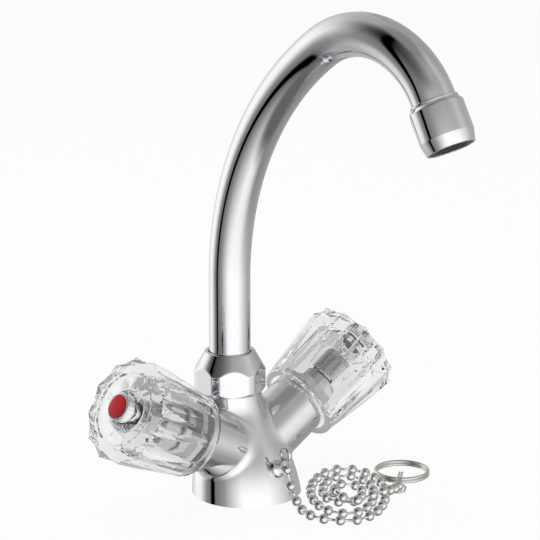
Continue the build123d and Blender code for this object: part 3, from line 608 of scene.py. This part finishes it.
def spout_line():
    """Places and ways of the centre line, forwards and up: a rise, three tangent bends, a short outlet."""
    rise = np.arange(TUBE_FOOT, BEND_START, TUBE_STEP)
    places, leans = [np.column_stack([np.zeros(len(rise)), rise])], [np.zeros(len(rise))]
    at, lean = np.array([0.0, BEND_START]), 0.0
    for radius, bend in SPOUT_BENDS:
        centre = at + radius * np.array([cos(lean), -sin(lean)])
        leans.append(lean + np.linspace(0, bend, round(radius * bend / TUBE_STEP), endpoint=False))
        places.append(centre + radius * np.column_stack([-np.cos(leans[-1]), np.sin(leans[-1])]))
        lean += bend
        at = centre + radius * np.array([-cos(lean), sin(lean)])
    end = at + OUTLET_STRAIGHT * np.array([sin(lean), cos(lean)])
    return np.vstack(places + [[at], [end]]), np.concatenate(leans + [[lean, lean]])


line, leans = spout_line()
turn = directions(TUBE_SIDES)
centres = np.column_stack([np.zeros(len(line)), NECK_SETBACK - line[:, 0], line[:, 1]])
outwards = np.column_stack([np.zeros(len(line)), -np.cos(leans), -np.sin(leans)])
ring = np.cos(turn)[:, None] * np.array([1.0, 0, 0]) + np.sin(turn)[:, None] * outwards[:, None]
tube_points = np.vstack([
    (centres[:, None] + TUBE_RADIUS * ring).reshape(-1, 3),
    (centres[:, None] + (TUBE_RADIUS - TUBE_WALL) * ring)[::-1].reshape(-1, 3),
])
tube_faces = grid_faces(2 * len(line), TUBE_SIDES, close_rows=True)[:, ::-1]
tube_chrome = chrome("chrome_on_bent_tube", wave=30 * MM, waviness=0.04, haze=0.05)
tube = make_piece("spout_tube_shell", tube_points * MM, tube_faces, "spout", tube_chrome)
tube.data.set_sharp_from_angle(angle=radians(40))
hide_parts("spout_tube")

# Swivel bush and its O-rings. The bush is turned from brass and brazed round the tube's foot. Its
# flange rests on the neck, and two rubber rings in its grooves seal it in the neck's bore.


def turned_metal(name, dark, light, origin, axis, line_width, roughness):
    """Turned metal, bare or thinly plated: rings round its axis, a sine of the way along it, which is
    the offset from the origin dotted with the axis. They are coarser than a real cut's, so they show."""
    made = empty_material(name)
    tree = made.node_tree
    place = add(tree, "TexCoord").outputs["Object"]
    offset = add(tree, "VectorMath", {0: place, 1: Vector(origin) * MM}, operation="SUBTRACT")
    way = add(tree, "VectorMath", {0: offset.outputs[0], 1: Vector(axis)}, operation="DOT_PRODUCT")
    turns = add(tree, "Math", {0: way.outputs["Value"], 1: 2 * pi / line_width}, operation="MULTIPLY")
    rings = add(tree, "Math", {0: turns.outputs[0]}, operation="SINE")
    uneven = add(tree, "TexNoise", {"Vector": place, "Scale": 1 / (2.5 * MM), "Detail": 4.0})
    tone = add(tree, "ValToRGB", {"Fac": uneven.outputs["Fac"]})
    tone.color_ramp.elements[0].color = linear(dark)
    tone.color_ramp.elements[1].color = linear(light)
    polish = add(tree, "MapRange", {"Value": uneven.outputs["Fac"], "From Min": 0.3, "From Max": 0.7,
                                    "To Min": roughness, "To Max": roughness + 0.1})
    bump = add(tree, "Bump", {"Height": rings.outputs[0], "Strength": 0.05, "Distance": 0.01 * MM})
    skin = add(tree, "BsdfPrincipled", {"Base Color": tone.outputs["Color"], "Metallic": 1.0,
                                        "Roughness": polish.outputs["Result"],
                                        "Normal": bump.outputs["Normal"]})
    add(tree, "OutputMaterial", {"Surface": skin.outputs["BSDF"]})
    return made


neck_brass = turned_metal("turned_brass_bush", "B08D48", "C9A55E", NECK_AXIS, (0, 0, 1),
                          line_width=0.25 * MM, roughness=0.25)
dress(neck_brass, "spout_bush")
dress(rubber, "spout_o_rings")

# Outlet nipple and aerator, on the tube's end and square to the flow. A turned nipple carries the
# screwed housing; its flange shows as a narrow collar. In the mouth sits the moulded cartridge.
OUTLET = centres[-1]
FLOW = np.array([0.0, -sin(leans[-1]), cos(leans[-1])])
NIPPLE_OUTLINE = [(6.8, -3.5), (8.1, -3.5), (8.1, 0.02), (10.3, 0.02), (10.3, 1.2), (9.85, 1.2),
                  (9.85, 7.0), (6.8, 7.0)]
NIPPLE_EDGES = [0, 0, 0, 0.25, 0.25, 0, 0.3, 0]
HOUSING_OUTLINE = [(9.9, 1.5), (10.6, 1.5), (11.6, 2.9), (11.6, 15.7), (10.4, 20.9), (9.5, 20.9),
                   (9.5, 19.0), (9.9, 19.0)]
HOUSING_EDGES = [0, 0.2, 0.5, 0.35, 0.25, 0.2, 0, 0]
TURNED_SIDES = 192


def rounded(corners, radii, steps=5):
    """An outline of radius and height whose corners are arcs: each leaves its two sides squarely."""
    corners = np.asarray(corners, float)
    found = []
    for before, corner, after, radius in zip(np.roll(corners, 1, 0), corners, np.roll(corners, -1, 0), radii):
        if radius == 0:
            found.append(corner)
            continue
        to, away = (before - corner), (after - corner)
        to, away = to / np.linalg.norm(to), away / np.linalg.norm(away)
        half = np.arccos(np.clip(to @ away, -1, 1)) / 2
        start, end = corner + to * radius / np.tan(half), corner + away * radius / np.tan(half)
        centre = corner + (to + away) / np.linalg.norm(to + away) * radius / np.sin(half)
        for step in np.linspace(0, 1, steps):
            spoke = (1 - step) * (start - centre) + step * (end - centre)
            found.append(centre + spoke / np.linalg.norm(spoke) * radius)
    return np.array(found)


def outlet_piece(name, outline):
    """A closed outline of radius and height turned about the flow's axis, its height from the tube's end."""
    points, faces = lathe(outline, TURNED_SIDES, closed=True)
    points = placed(points, OUTLET, (1, 0, 0), FLOW)
    made = make_piece(name, points * MM, faces, "spout", turned_chrome)
    made.data.set_sharp_from_angle(angle=radians(28))
    return made


nipple = outlet_piece("outlet_nipple", rounded(NIPPLE_OUTLINE, NIPPLE_EDGES))
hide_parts("spout_end_nipple")
housing = outlet_piece("aerator_shell", rounded(HOUSING_OUTLINE, HOUSING_EDGES))
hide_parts("aerator_housing")

# Black acetal from a mould: near black and half matt, with a faint grain.
black_plastic = empty_material("black_acetal_moulded")
tree = black_plastic.node_tree
place = add(tree, "TexCoord").outputs["Object"]
grain = add(tree, "TexNoise", {"Vector": place, "Scale": 1 / (0.4 * MM), "Detail": 2.0})
polish = add(tree, "MapRange", {"Value": grain.outputs["Fac"], "To Min": 0.3, "To Max": 0.5})
bump = add(tree, "Bump", {"Height": grain.outputs["Fac"], "Strength": 0.15, "Distance": 0.02 * MM})
skin = add(tree, "BsdfPrincipled", {"Base Color": linear("232425"), "Roughness": polish.outputs["Result"],
                                    "Normal": bump.outputs["Normal"]})
add(tree, "OutputMaterial", {"Surface": skin.outputs["BSDF"]})

# Stainless sheet of the strainer: grey and softly bright.
steel_at_outlet = turned_metal("stainless_strainer_sheet", "9FA0A2", "BFC0C1", OUTLET, FLOW,
                               line_width=0.3 * MM, roughness=0.3)
dress(black_plastic, "aerator_insert")
dress(rubber, "aerator_washer")
dress(steel_at_outlet, "aerator_screen")

# Headworks, spindles and valves, one set in each arm. The headwork is screwed into the arm's end;
# its neck and the spindle show as bright rods through the knob. Plunger, washer and screw sit inside.
SIDES = (("hot", -1), ("cold", 1))
# Vulcanised fibre, pressed: grey and matt, with a coarse, matted grain.
fibre = mottled("grey_vulcanised_fibre", "8E8E8C", "B4B4B1", grain=(0.5 * MM, 5.0, 0.7),
                strength=0.3, depth=0.05 * MM, roughness=0.65)

# Turned parts with fine tool rings: nickel-plated headwork and spindle, bare brass and steel inside.
for name, side in SIDES:
    axis = (ARM_ROOT, arm_way(side))
    headwork_plate = turned_metal(f"nickel_on_turned_headwork_{name}", "D6D6D6", "E2E2E2", *axis,
                                  line_width=0.3 * MM, roughness=0.06)
    spindle_plate = turned_metal(f"nickel_on_turned_spindle_{name}", "D8D8D8", "E4E4E4", *axis,
                                 line_width=0.2 * MM, roughness=0.05)
    plunger_brass = turned_metal(f"turned_brass_plunger_{name}", "AE8A45", "C8A35B", *axis,
                                 line_width=0.25 * MM, roughness=0.28)
    steel = turned_metal(f"turned_steel_screw_{name}", "A4A5A7", "C4C5C6", *axis,
                         line_width=0.2 * MM, roughness=0.22)
    dress(headwork_plate, f"{name}_headwork_body")
    dress(spindle_plate, f"{name}_spindle")
    dress(plunger_brass, f"{name}_valve_plunger")
    dress(steel, f"{name}_circlip", f"{name}_washer_screw", f"{name}_knob_screw")
    dress(rubber, f"{name}_spindle_o_rings", f"{name}_valve_washer")
    dress(fibre, f"{name}_headwork_washer")
    dress(spindle_plate, f"{name}_knob_insert")

# Knobs. Each is one clear acrylic moulding, polished all over: twelve lobes run out from the plain
# skirt to a sharp rim, round twelve bevel facets and a twelve-sided crown. A hollow with 24 flats
# and a twelve-sided ceiling surrounds the boss, in which the nickel-plated insert sits.
SKIRT_STATION, SKIRT_RADIUS, RIM_STATION = 38.3, 19.4, 79.0
SKIRT_EDGE = [(0.7, 0.0), (0.25, 0.25), (0.0, 0.7)]
FLANK_STATION, FLANK_RINGS = 39.8, 60
FLARE_STATIONS, FLARE_RADII = [38.3, 40.9, 55.0, 68.0, 79.0], [19.4, 19.4, 21.3, 23.0, 24.0]
FLUTES, FLUTE_START, FLUTE_DEPTH, FLUTE_HOLLOW, FLUTE_EDGE = 12, 41.0, 1.7, 1.7, 0.03
FACE_STATION, FACE_RADIUS, CROWN_STATION, CROWN_RADIUS = 81.6, 16.5, 83.6, 7.0
FACE_STEP, STEP_INSET, CROWN_INSET = 0.7, 0.1, 0.3
BEVEL_SHARES, CROWN_SHARES = (0.04, 0.5, 1.0), (0.02, 0.35, 0.7, 1.0)
INDEX_SEAT, INDEX_FLOOR, WELL_RADIUS, WELL_FLOOR = 6.22, 79.0, 4.2, 68.0
INSERT_SEAT, BOSS_RADIUS, BOSS_STATION = 7.0, 8.6, 55.3
HOLLOW_RADIUS, HOLLOW_SHOULDER, HOLLOW_NECK, HOLLOW_TOP = 15.8, 71.0, 9.6, 76.0
HOLLOW_TAPER, HOLLOW_FLATS_END, HOLLOW_ROUND_TOP, HOLLOW_EDGE = 0.3, 43.3, 41.3, 0.4
KNOB_SIDES = 288
MIRRORED_WITHIN = 22 * MM


def knob_points():
    """Rings of the knob's closed shell, from the skirt up the flank, over the face and down inside."""
    turn = directions(KNOB_SIDES)
    round_ring = np.ones(KNOB_SIDES)
    rings = [((SKIRT_RADIUS - inset) * round_ring, SKIRT_STATION + rise) for inset, rise in SKIRT_EDGE]
    from_middle = (turn * FLUTES / (2 * pi) + 0.5) % 1 * 2 - 1
    for station in np.linspace(FLANK_STATION, RIM_STATION, FLANK_RINGS):
        cone = np.interp(station, FLARE_STATIONS, FLARE_RADII)
        cut = FLUTE_DEPTH * (station - FLUTE_START) / (RIM_STATION - FLUTE_START)
        flute = cone - cut + FLUTE_HOLLOW * from_middle ** 2
        rings.append((soft_least(cone * round_ring, flute, FLUTE_EDGE), station))
    rim = rings[-1][0]
    face = FACE_RADIUS * round_ring
    slope = (FACE_STATION - RIM_STATION) / (rim.min() - FACE_RADIUS)
    facets = polygon(turn, FLUTES, 1.0)
    for share in BEVEL_SHARES:
        bevel = rim * (1 - share) + face * share
        along_facet = bevel * facets[0] / facets
        rings.append((bevel, FACE_STATION - slope * (along_facet - FACE_RADIUS)))
    step_station = FACE_STATION - FACE_STEP
    rings.append((face - STEP_INSET, step_station))
    crown_foot = polygon(turn, FLUTES, FACE_RADIUS - CROWN_INSET)
    for share in CROWN_SHARES:
        crown = polygon(turn, FLUTES, CROWN_RADIUS) * share + crown_foot * (1 - share)
        rings.append((crown, step_station + (CROWN_STATION - step_station) * share))
    for radius, station in [
        (INDEX_SEAT, CROWN_STATION), (INDEX_SEAT, INDEX_FLOOR), (WELL_RADIUS, INDEX_FLOOR),
        (WELL_RADIUS, WELL_FLOOR), (INSERT_SEAT, WELL_FLOOR), (INSERT_SEAT, BOSS_STATION),
        (BOSS_RADIUS, BOSS_STATION), (BOSS_RADIUS, HOLLOW_TOP),
    ]:
        rings.append((radius * round_ring, station))
    wall = polygon(turn, 2 * FLUTES, HOLLOW_RADIUS)
    rings += [
        (polygon(turn, FLUTES, HOLLOW_NECK), HOLLOW_TOP), (wall - HOLLOW_TAPER, HOLLOW_SHOULDER),
        (wall, HOLLOW_FLATS_END), (HOLLOW_RADIUS * round_ring, HOLLOW_ROUND_TOP),
        (HOLLOW_RADIUS * round_ring, SKIRT_STATION + HOLLOW_EDGE),
        ((HOLLOW_RADIUS + HOLLOW_EDGE) * round_ring, SKIRT_STATION),
    ]
    radius = np.array([ring for ring, _ in rings])
    height = np.array([station * round_ring for _, station in rings])
    return turned_round(radius, height, turn), len(rings)


# Clear acrylic, water-clear and with next to no orange peel from its polished mould. In the
# photograph only the nut and the casting close by mirror a knob, and the spout doesn't, so a mirror
# ray longer than MIRRORED_WITHIN passes it. Shadow rays pass it too.
clear = empty_material("clear_acrylic_moulded")
tree = clear.node_tree
place = add(tree, "TexCoord").outputs["Object"]
wear = add(tree, "TexNoise", {"Vector": place, "Scale": 1 / (7.0 * MM), "Detail": 4.0})
peel = add(tree, "TexNoise", {"Vector": place, "Scale": 1 / (3.0 * MM), "Detail": 2.0, "Roughness": 0.45})
polish = add(tree, "MapRange", {"Value": wear.outputs["Fac"], "From Min": 0.45, "From Max": 0.8,
                                "To Min": 0.0, "To Max": 0.01})
bump = add(tree, "Bump", {"Height": peel.outputs["Fac"], "Strength": 0.01, "Distance": 0.02 * MM})
acrylic = add(tree, "BsdfPrincipled", {
    "Base Color": linear("F5F6F6"), "Transmission Weight": 1.0, "IOR": 1.49,
    "Roughness": polish.outputs["Result"], "Normal": bump.outputs["Normal"],
})
rays = add(tree, "LightPath").outputs
shadow = add(tree, "BsdfTransparent", {"Color": linear("E6E8E9")})
both = add(tree, "MixShader", {"Fac": rays["Is Shadow Ray"], 1: acrylic.outputs[0], 2: shadow.outputs[0]})
far = add(tree, "Math", {0: rays["Ray Length"], 1: MIRRORED_WITHIN}, operation="GREATER_THAN")
unseen = add(tree, "Math", {0: rays["Is Glossy Ray"], 1: far.outputs[0]}, operation="MULTIPLY")
open_air = add(tree, "BsdfTransparent", {"Color": linear("F2F3F4")})
skin = add(tree, "MixShader", {"Fac": unseen.outputs[0], 1: both.outputs[0], 2: open_air.outputs[0]})
add(tree, "OutputMaterial", {"Surface": skin.outputs[0]})

shell_points, shell_rings = knob_points()
for name, side in SIDES:
    knob = make_piece(
        f"{name}_knob_shell", on_arm(shell_points, side) * MM,
        grid_faces(shell_rings, KNOB_SIDES, close_rows=True), f"{name}_handle", clear,
    )
    knob.data.set_sharp_from_angle(angle=radians(4))
    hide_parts(f"{name}_knob")

# Index discs. A domed disc, enamelled red or blue on a plated face, sits in a turned and plated rim;
# both are pressed in the seat of the knob's crown.
INDEX_FOOT, INDEX_FACE, INDEX_RADIUS = INDEX_FLOOR + 0.1, 85.0, 5.28
DISC_EDGE, DOME_INSET, DOME_RISE = 0.5, 0.15, 0.35
lean = np.linspace(0, 1, 12) * pi / 2
dome = np.column_stack([
    (INDEX_RADIUS - DOME_INSET) * np.cos(lean), INDEX_FACE - DOME_RISE + DOME_RISE * np.sin(lean),
])
DISC_OUTLINE = np.vstack([
    [(0, INDEX_FOOT), (INDEX_RADIUS, INDEX_FOOT), (INDEX_RADIUS, INDEX_FACE - DISC_EDGE)], dome,
])
RIM_OUTLINE = rounded([(5.3, 79.1), (6.2, 79.1), (6.2, 84.8), (5.3, 84.8)], [0, 0, 0.35, 0.2])
PAINTED_FROM = INDEX_FACE - 0.9
INDEX_SIDES, INDEX_SHARP = 96, radians(30)
# Stoved enamel on the disc's face: a deep colour, faintly clouded, with a soft gloss. Below the face the
# disc's metal is a dark grey, painted shade that shows as the dark patches seen through the knob.
ENAMELS = {"hot": ("B3121F", "C81B28"), "cold": ("12368E", "1A429F")}
for name, side in SIDES:
    enamel = empty_material(f"{name}_index_enamel_and_painted_shade_plate")
    tree = enamel.node_tree
    place = add(tree, "TexCoord").outputs["Object"]
    cloud = add(tree, "TexNoise", {"Vector": place, "Scale": 1 / (0.8 * MM), "Detail": 3.0})
    tone = add(tree, "ValToRGB", {"Fac": cloud.outputs["Fac"]})
    for end, colour in zip(tone.color_ramp.elements, ENAMELS[name]):
        end.color = linear(colour)
    bump = add(tree, "Bump", {"Height": cloud.outputs["Fac"], "Strength": 0.06, "Distance": 0.03 * MM})
    paint = add(tree, "BsdfPrincipled", {"Base Color": tone.outputs["Color"], "Roughness": 0.22,
                                         "Normal": bump.outputs["Normal"]})
    # Painted shade: the disc's side and underside are dark grey metal, so they show as dark patches through
    # the clear knob.
    shaded_plate = add(tree, "BsdfPrincipled", {"Base Color": linear("5E5F61"), "Metallic": 1.0, "Roughness": 0.35,
                                         "Normal": bump.outputs["Normal"]})
    offset = add(tree, "VectorMath", {0: place, 1: Vector(ARM_ROOT) * MM}, operation="SUBTRACT")
    way = add(tree, "VectorMath", {0: offset.outputs[0], 1: Vector(arm_way(side))}, operation="DOT_PRODUCT")
    on_face = add(tree, "Math", {0: way.outputs["Value"], 1: PAINTED_FROM * MM}, operation="GREATER_THAN")
    coat = add(tree, "MixShader", {"Fac": on_face.outputs[0], 1: shaded_plate.outputs[0], 2: paint.outputs[0]})
    add(tree, "OutputMaterial", {"Surface": coat.outputs[0]})
    points, faces = lathe(DISC_OUTLINE, INDEX_SIDES)
    disc = make_piece(
        f"{name}_index_disc", on_arm(points, side) * MM, faces, f"{name}_handle", enamel)
    disc.data.set_sharp_from_angle(angle=INDEX_SHARP)
    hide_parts(f"{name}_index_cap")
    points, faces = lathe(RIM_OUTLINE, INDEX_SIDES, closed=True)
    rim = make_piece(
        f"{name}_index_ring", on_arm(points, side) * MM, faces, f"{name}_handle", turned_chrome)
    rim.data.set_sharp_from_angle(angle=INDEX_SHARP)
    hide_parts(f"{name}_index_rim")

# Studio. The tap stands on flat white paper under a round softbox, and the camera sees plain white
# behind it. A few light and grey panels round it give the rest of the light and all reflections.
# Paper shows as an even white, also through the knobs, and still catches the tap's shade a little.
FLOOR_REACH, FLOOR_GLOW = 6.0, 0.93
sweep_material = empty_material("white_sweep_paper")
tree = sweep_material.node_tree
rays = add(tree, "LightPath").outputs
paper = add(tree, "BsdfDiffuse", {"Color": linear("F4F4F4")})
glow = add(tree, "Emission", {"Color": linear("FFFFFF"), "Strength": 1.0})
seen = add(tree, "Math", {0: rays["Is Camera Ray"], 1: rays["Is Transmission Ray"]}, operation="MAXIMUM")
share = add(tree, "Math", {0: seen.outputs[0], 1: FLOOR_GLOW}, operation="MULTIPLY")
both = add(tree, "MixShader", {"Fac": share.outputs[0], 1: paper.outputs[0], 2: glow.outputs[0]})
add(tree, "OutputMaterial", {"Surface": both.outputs[0]})
corners = [(FLOOR_REACH * x, FLOOR_REACH * y, 0) for x, y in ((-1, -1), (1, -1), (1, 1), (-1, 1))]
floor_mesh = bpy.data.meshes.new("sweep")
floor_mesh.from_pydata(corners, [], [(0, 1, 2, 3)])
floor_mesh.materials.append(sweep_material)
floor = bpy.data.objects.new("sweep", floor_mesh)
bpy.context.scene.collection.objects.link(floor)
floor.visible_glossy = False

# Panels round the tap, from the underfoot one to the ceiling. Each is its direction in degrees from
# the camera's own, positive to the right, and its brightness. One passes evenly into the next, as on
# curved paper, and one narrow black flag stands from the bench to the ceiling on the left.
BRIGHTEST = 1.25
FLAG = [(-77, 0.0), (-68, 0.0)]
UNDERFOOT = [(-140, 0.35), (-60, 0.15), (90, 0.15), (150, 0.3)]
BENCH = [(-150, 0.5), (-100, 0.45), (-80, 0.15), *FLAG, (-66, 0.15), (15, 1.1), (45, 1.0), (85, 0.3),
         (170, 0.35)]
WALLS = [(-170, 0.6), (-130, 1.2), (-110, 1.1), (-90, 0.3), (-79, 0.2), *FLAG, (-66, 0.2), (-45, 0.35),
         (-5, 1.25), (50, 1.25), (110, 0.5), (170, 0.45)]
CEILING = [(-130, 0.45), (-95, 0.1), *FLAG, (-60, 0.05), (-30, 0.15), (15, 0.4), (60, 0.45), (85, 0.6),
           (125, 0.4)]
OVERHEAD = 0.27
# Elevations in degrees between which one ring of panels passes into the next. The walls' tops differ
# by direction, and there the passage reaches HEM to each side, as a sine of elevation.
BENCH_EDGE, WALLS_EDGE, OVERHEAD_EDGE = (-68, -52), (-48, -8), (60, 82)
WALL_TOPS = [(-150, 32), (-90, 26), (-40, 20), (20, 25), (150, 20)]
HEM = 0.32
LAMP_SIZE, LAMP_WATTS, LAMP_PLACE = 1.6, 12.0, (-0.3, 0.2, 1.6)
# Light crosses many clear walls in the knobs, one behind another, before it reaches the eye.
ALL_BOUNCES, MIRROR_BOUNCES, CLEAR_BOUNCES = 40, 32, 40

world = bpy.data.worlds.new("studio")
bpy.context.scene.world = world
world.use_nodes = True
tree = world.node_tree
tree.nodes.clear()
axes = add(tree, "SeparateXYZ", {"Vector": add(tree, "TexCoord").outputs["Generated"]}).outputs
angle = add(tree, "Math", {0: axes["Y"], 1: axes["X"]}, operation="ARCTAN2")
turned = add(tree, "Math", {0: angle.outputs[0], 1: CAMERA_AZIMUTH + pi / 2}, operation="SUBTRACT")
turns = add(tree, "Math", {0: turned.outputs[0], 1: 2 * pi}, operation="DIVIDE")
position = add(tree, "Math", {0: turns.outputs[0]}, operation="FRACT").outputs[0]
height = axes["Z"]

# Each ring of panels is a ramp that runs once round the tap, from behind the camera to behind it.
rings = [[(direction, level / BRIGHTEST) for direction, level in panels]
         for panels in (UNDERFOOT, BENCH, WALLS, CEILING)]
rings.append([(direction, sin(radians(edge))) for direction, edge in WALL_TOPS])
ramps = []
for levels in rings:
    ramp = add(tree, "ValToRGB", {"Fac": position})
    stops = ramp.color_ramp.elements
    stops.remove(stops[1])
    for k, (direction, level) in enumerate(levels):
        round_share = (direction + 180) / 360
        stop = stops[0] if k == 0 else stops.new(round_share)
        stop.position = round_share
        stop.color = (level,) * 3 + (1.0,)
    ramps.append(ramp.outputs["Color"])
underfoot, bench, walls, ceiling, wall_tops = ramps
bench_share, walls_share, overhead_share = [
    add(tree, "MapRange", {"Value": height, "From Min": sin(radians(low)), "From Max": sin(radians(high))},
        interpolation_type="SMOOTHSTEP").outputs["Result"]
    for low, high in (BENCH_EDGE, WALLS_EDGE, OVERHEAD_EDGE)
]
over = add(tree, "Math", {0: height, 1: wall_tops}, operation="SUBTRACT")
upper_share = add(tree, "MapRange", {"Value": over.outputs[0], "From Min": -HEM, "From Max": HEM},
                  interpolation_type="SMOOTHSTEP").outputs["Result"]
overhead = (OVERHEAD / BRIGHTEST,) * 3 + (1.0,)
upper = add(tree, "Mix", {"Factor": overhead_share, 6: ceiling, 7: overhead}, data_type="RGBA").outputs[2]
surround = underfoot
for share, above in ((bench_share, bench), (walls_share, walls), (upper_share, upper)):
    surround = add(tree, "Mix", {"Factor": share, 6: surround, 7: above}, data_type="RGBA").outputs[2]
tent = add(tree, "Background", {"Color": surround, "Strength": BRIGHTEST})
white = add(tree, "Background", {"Color": linear("FFFFFF"), "Strength": 1.0})
seen = add(tree, "LightPath").outputs["Is Camera Ray"]
plain = add(tree, "MixShader", {"Fac": seen, 1: tent.outputs[0], 2: white.outputs[0]})
add(tree, "OutputWorld", {"Surface": plain.outputs[0]})

lamp = bpy.data.objects.new("ceiling_softbox", bpy.data.lights.new("ceiling_softbox", "AREA"))
lamp.data.shape = "DISK"
lamp.data.size = LAMP_SIZE
lamp.data.energy = LAMP_WATTS
lamp.location = LAMP_PLACE
lamp.rotation_mode = "QUATERNION"
lamp.rotation_quaternion = lamp.location.to_track_quat("Z", "Y")
lamp.visible_glossy = False
lamp.visible_transmission = False
bpy.context.scene.collection.objects.link(lamp)

bpy.context.scene.view_settings.view_transform = "Standard"

paths = bpy.context.scene.cycles
paths.max_bounces = ALL_BOUNCES
paths.glossy_bounces = MIRROR_BOUNCES
paths.transmission_bounces = CLEAR_BOUNCES
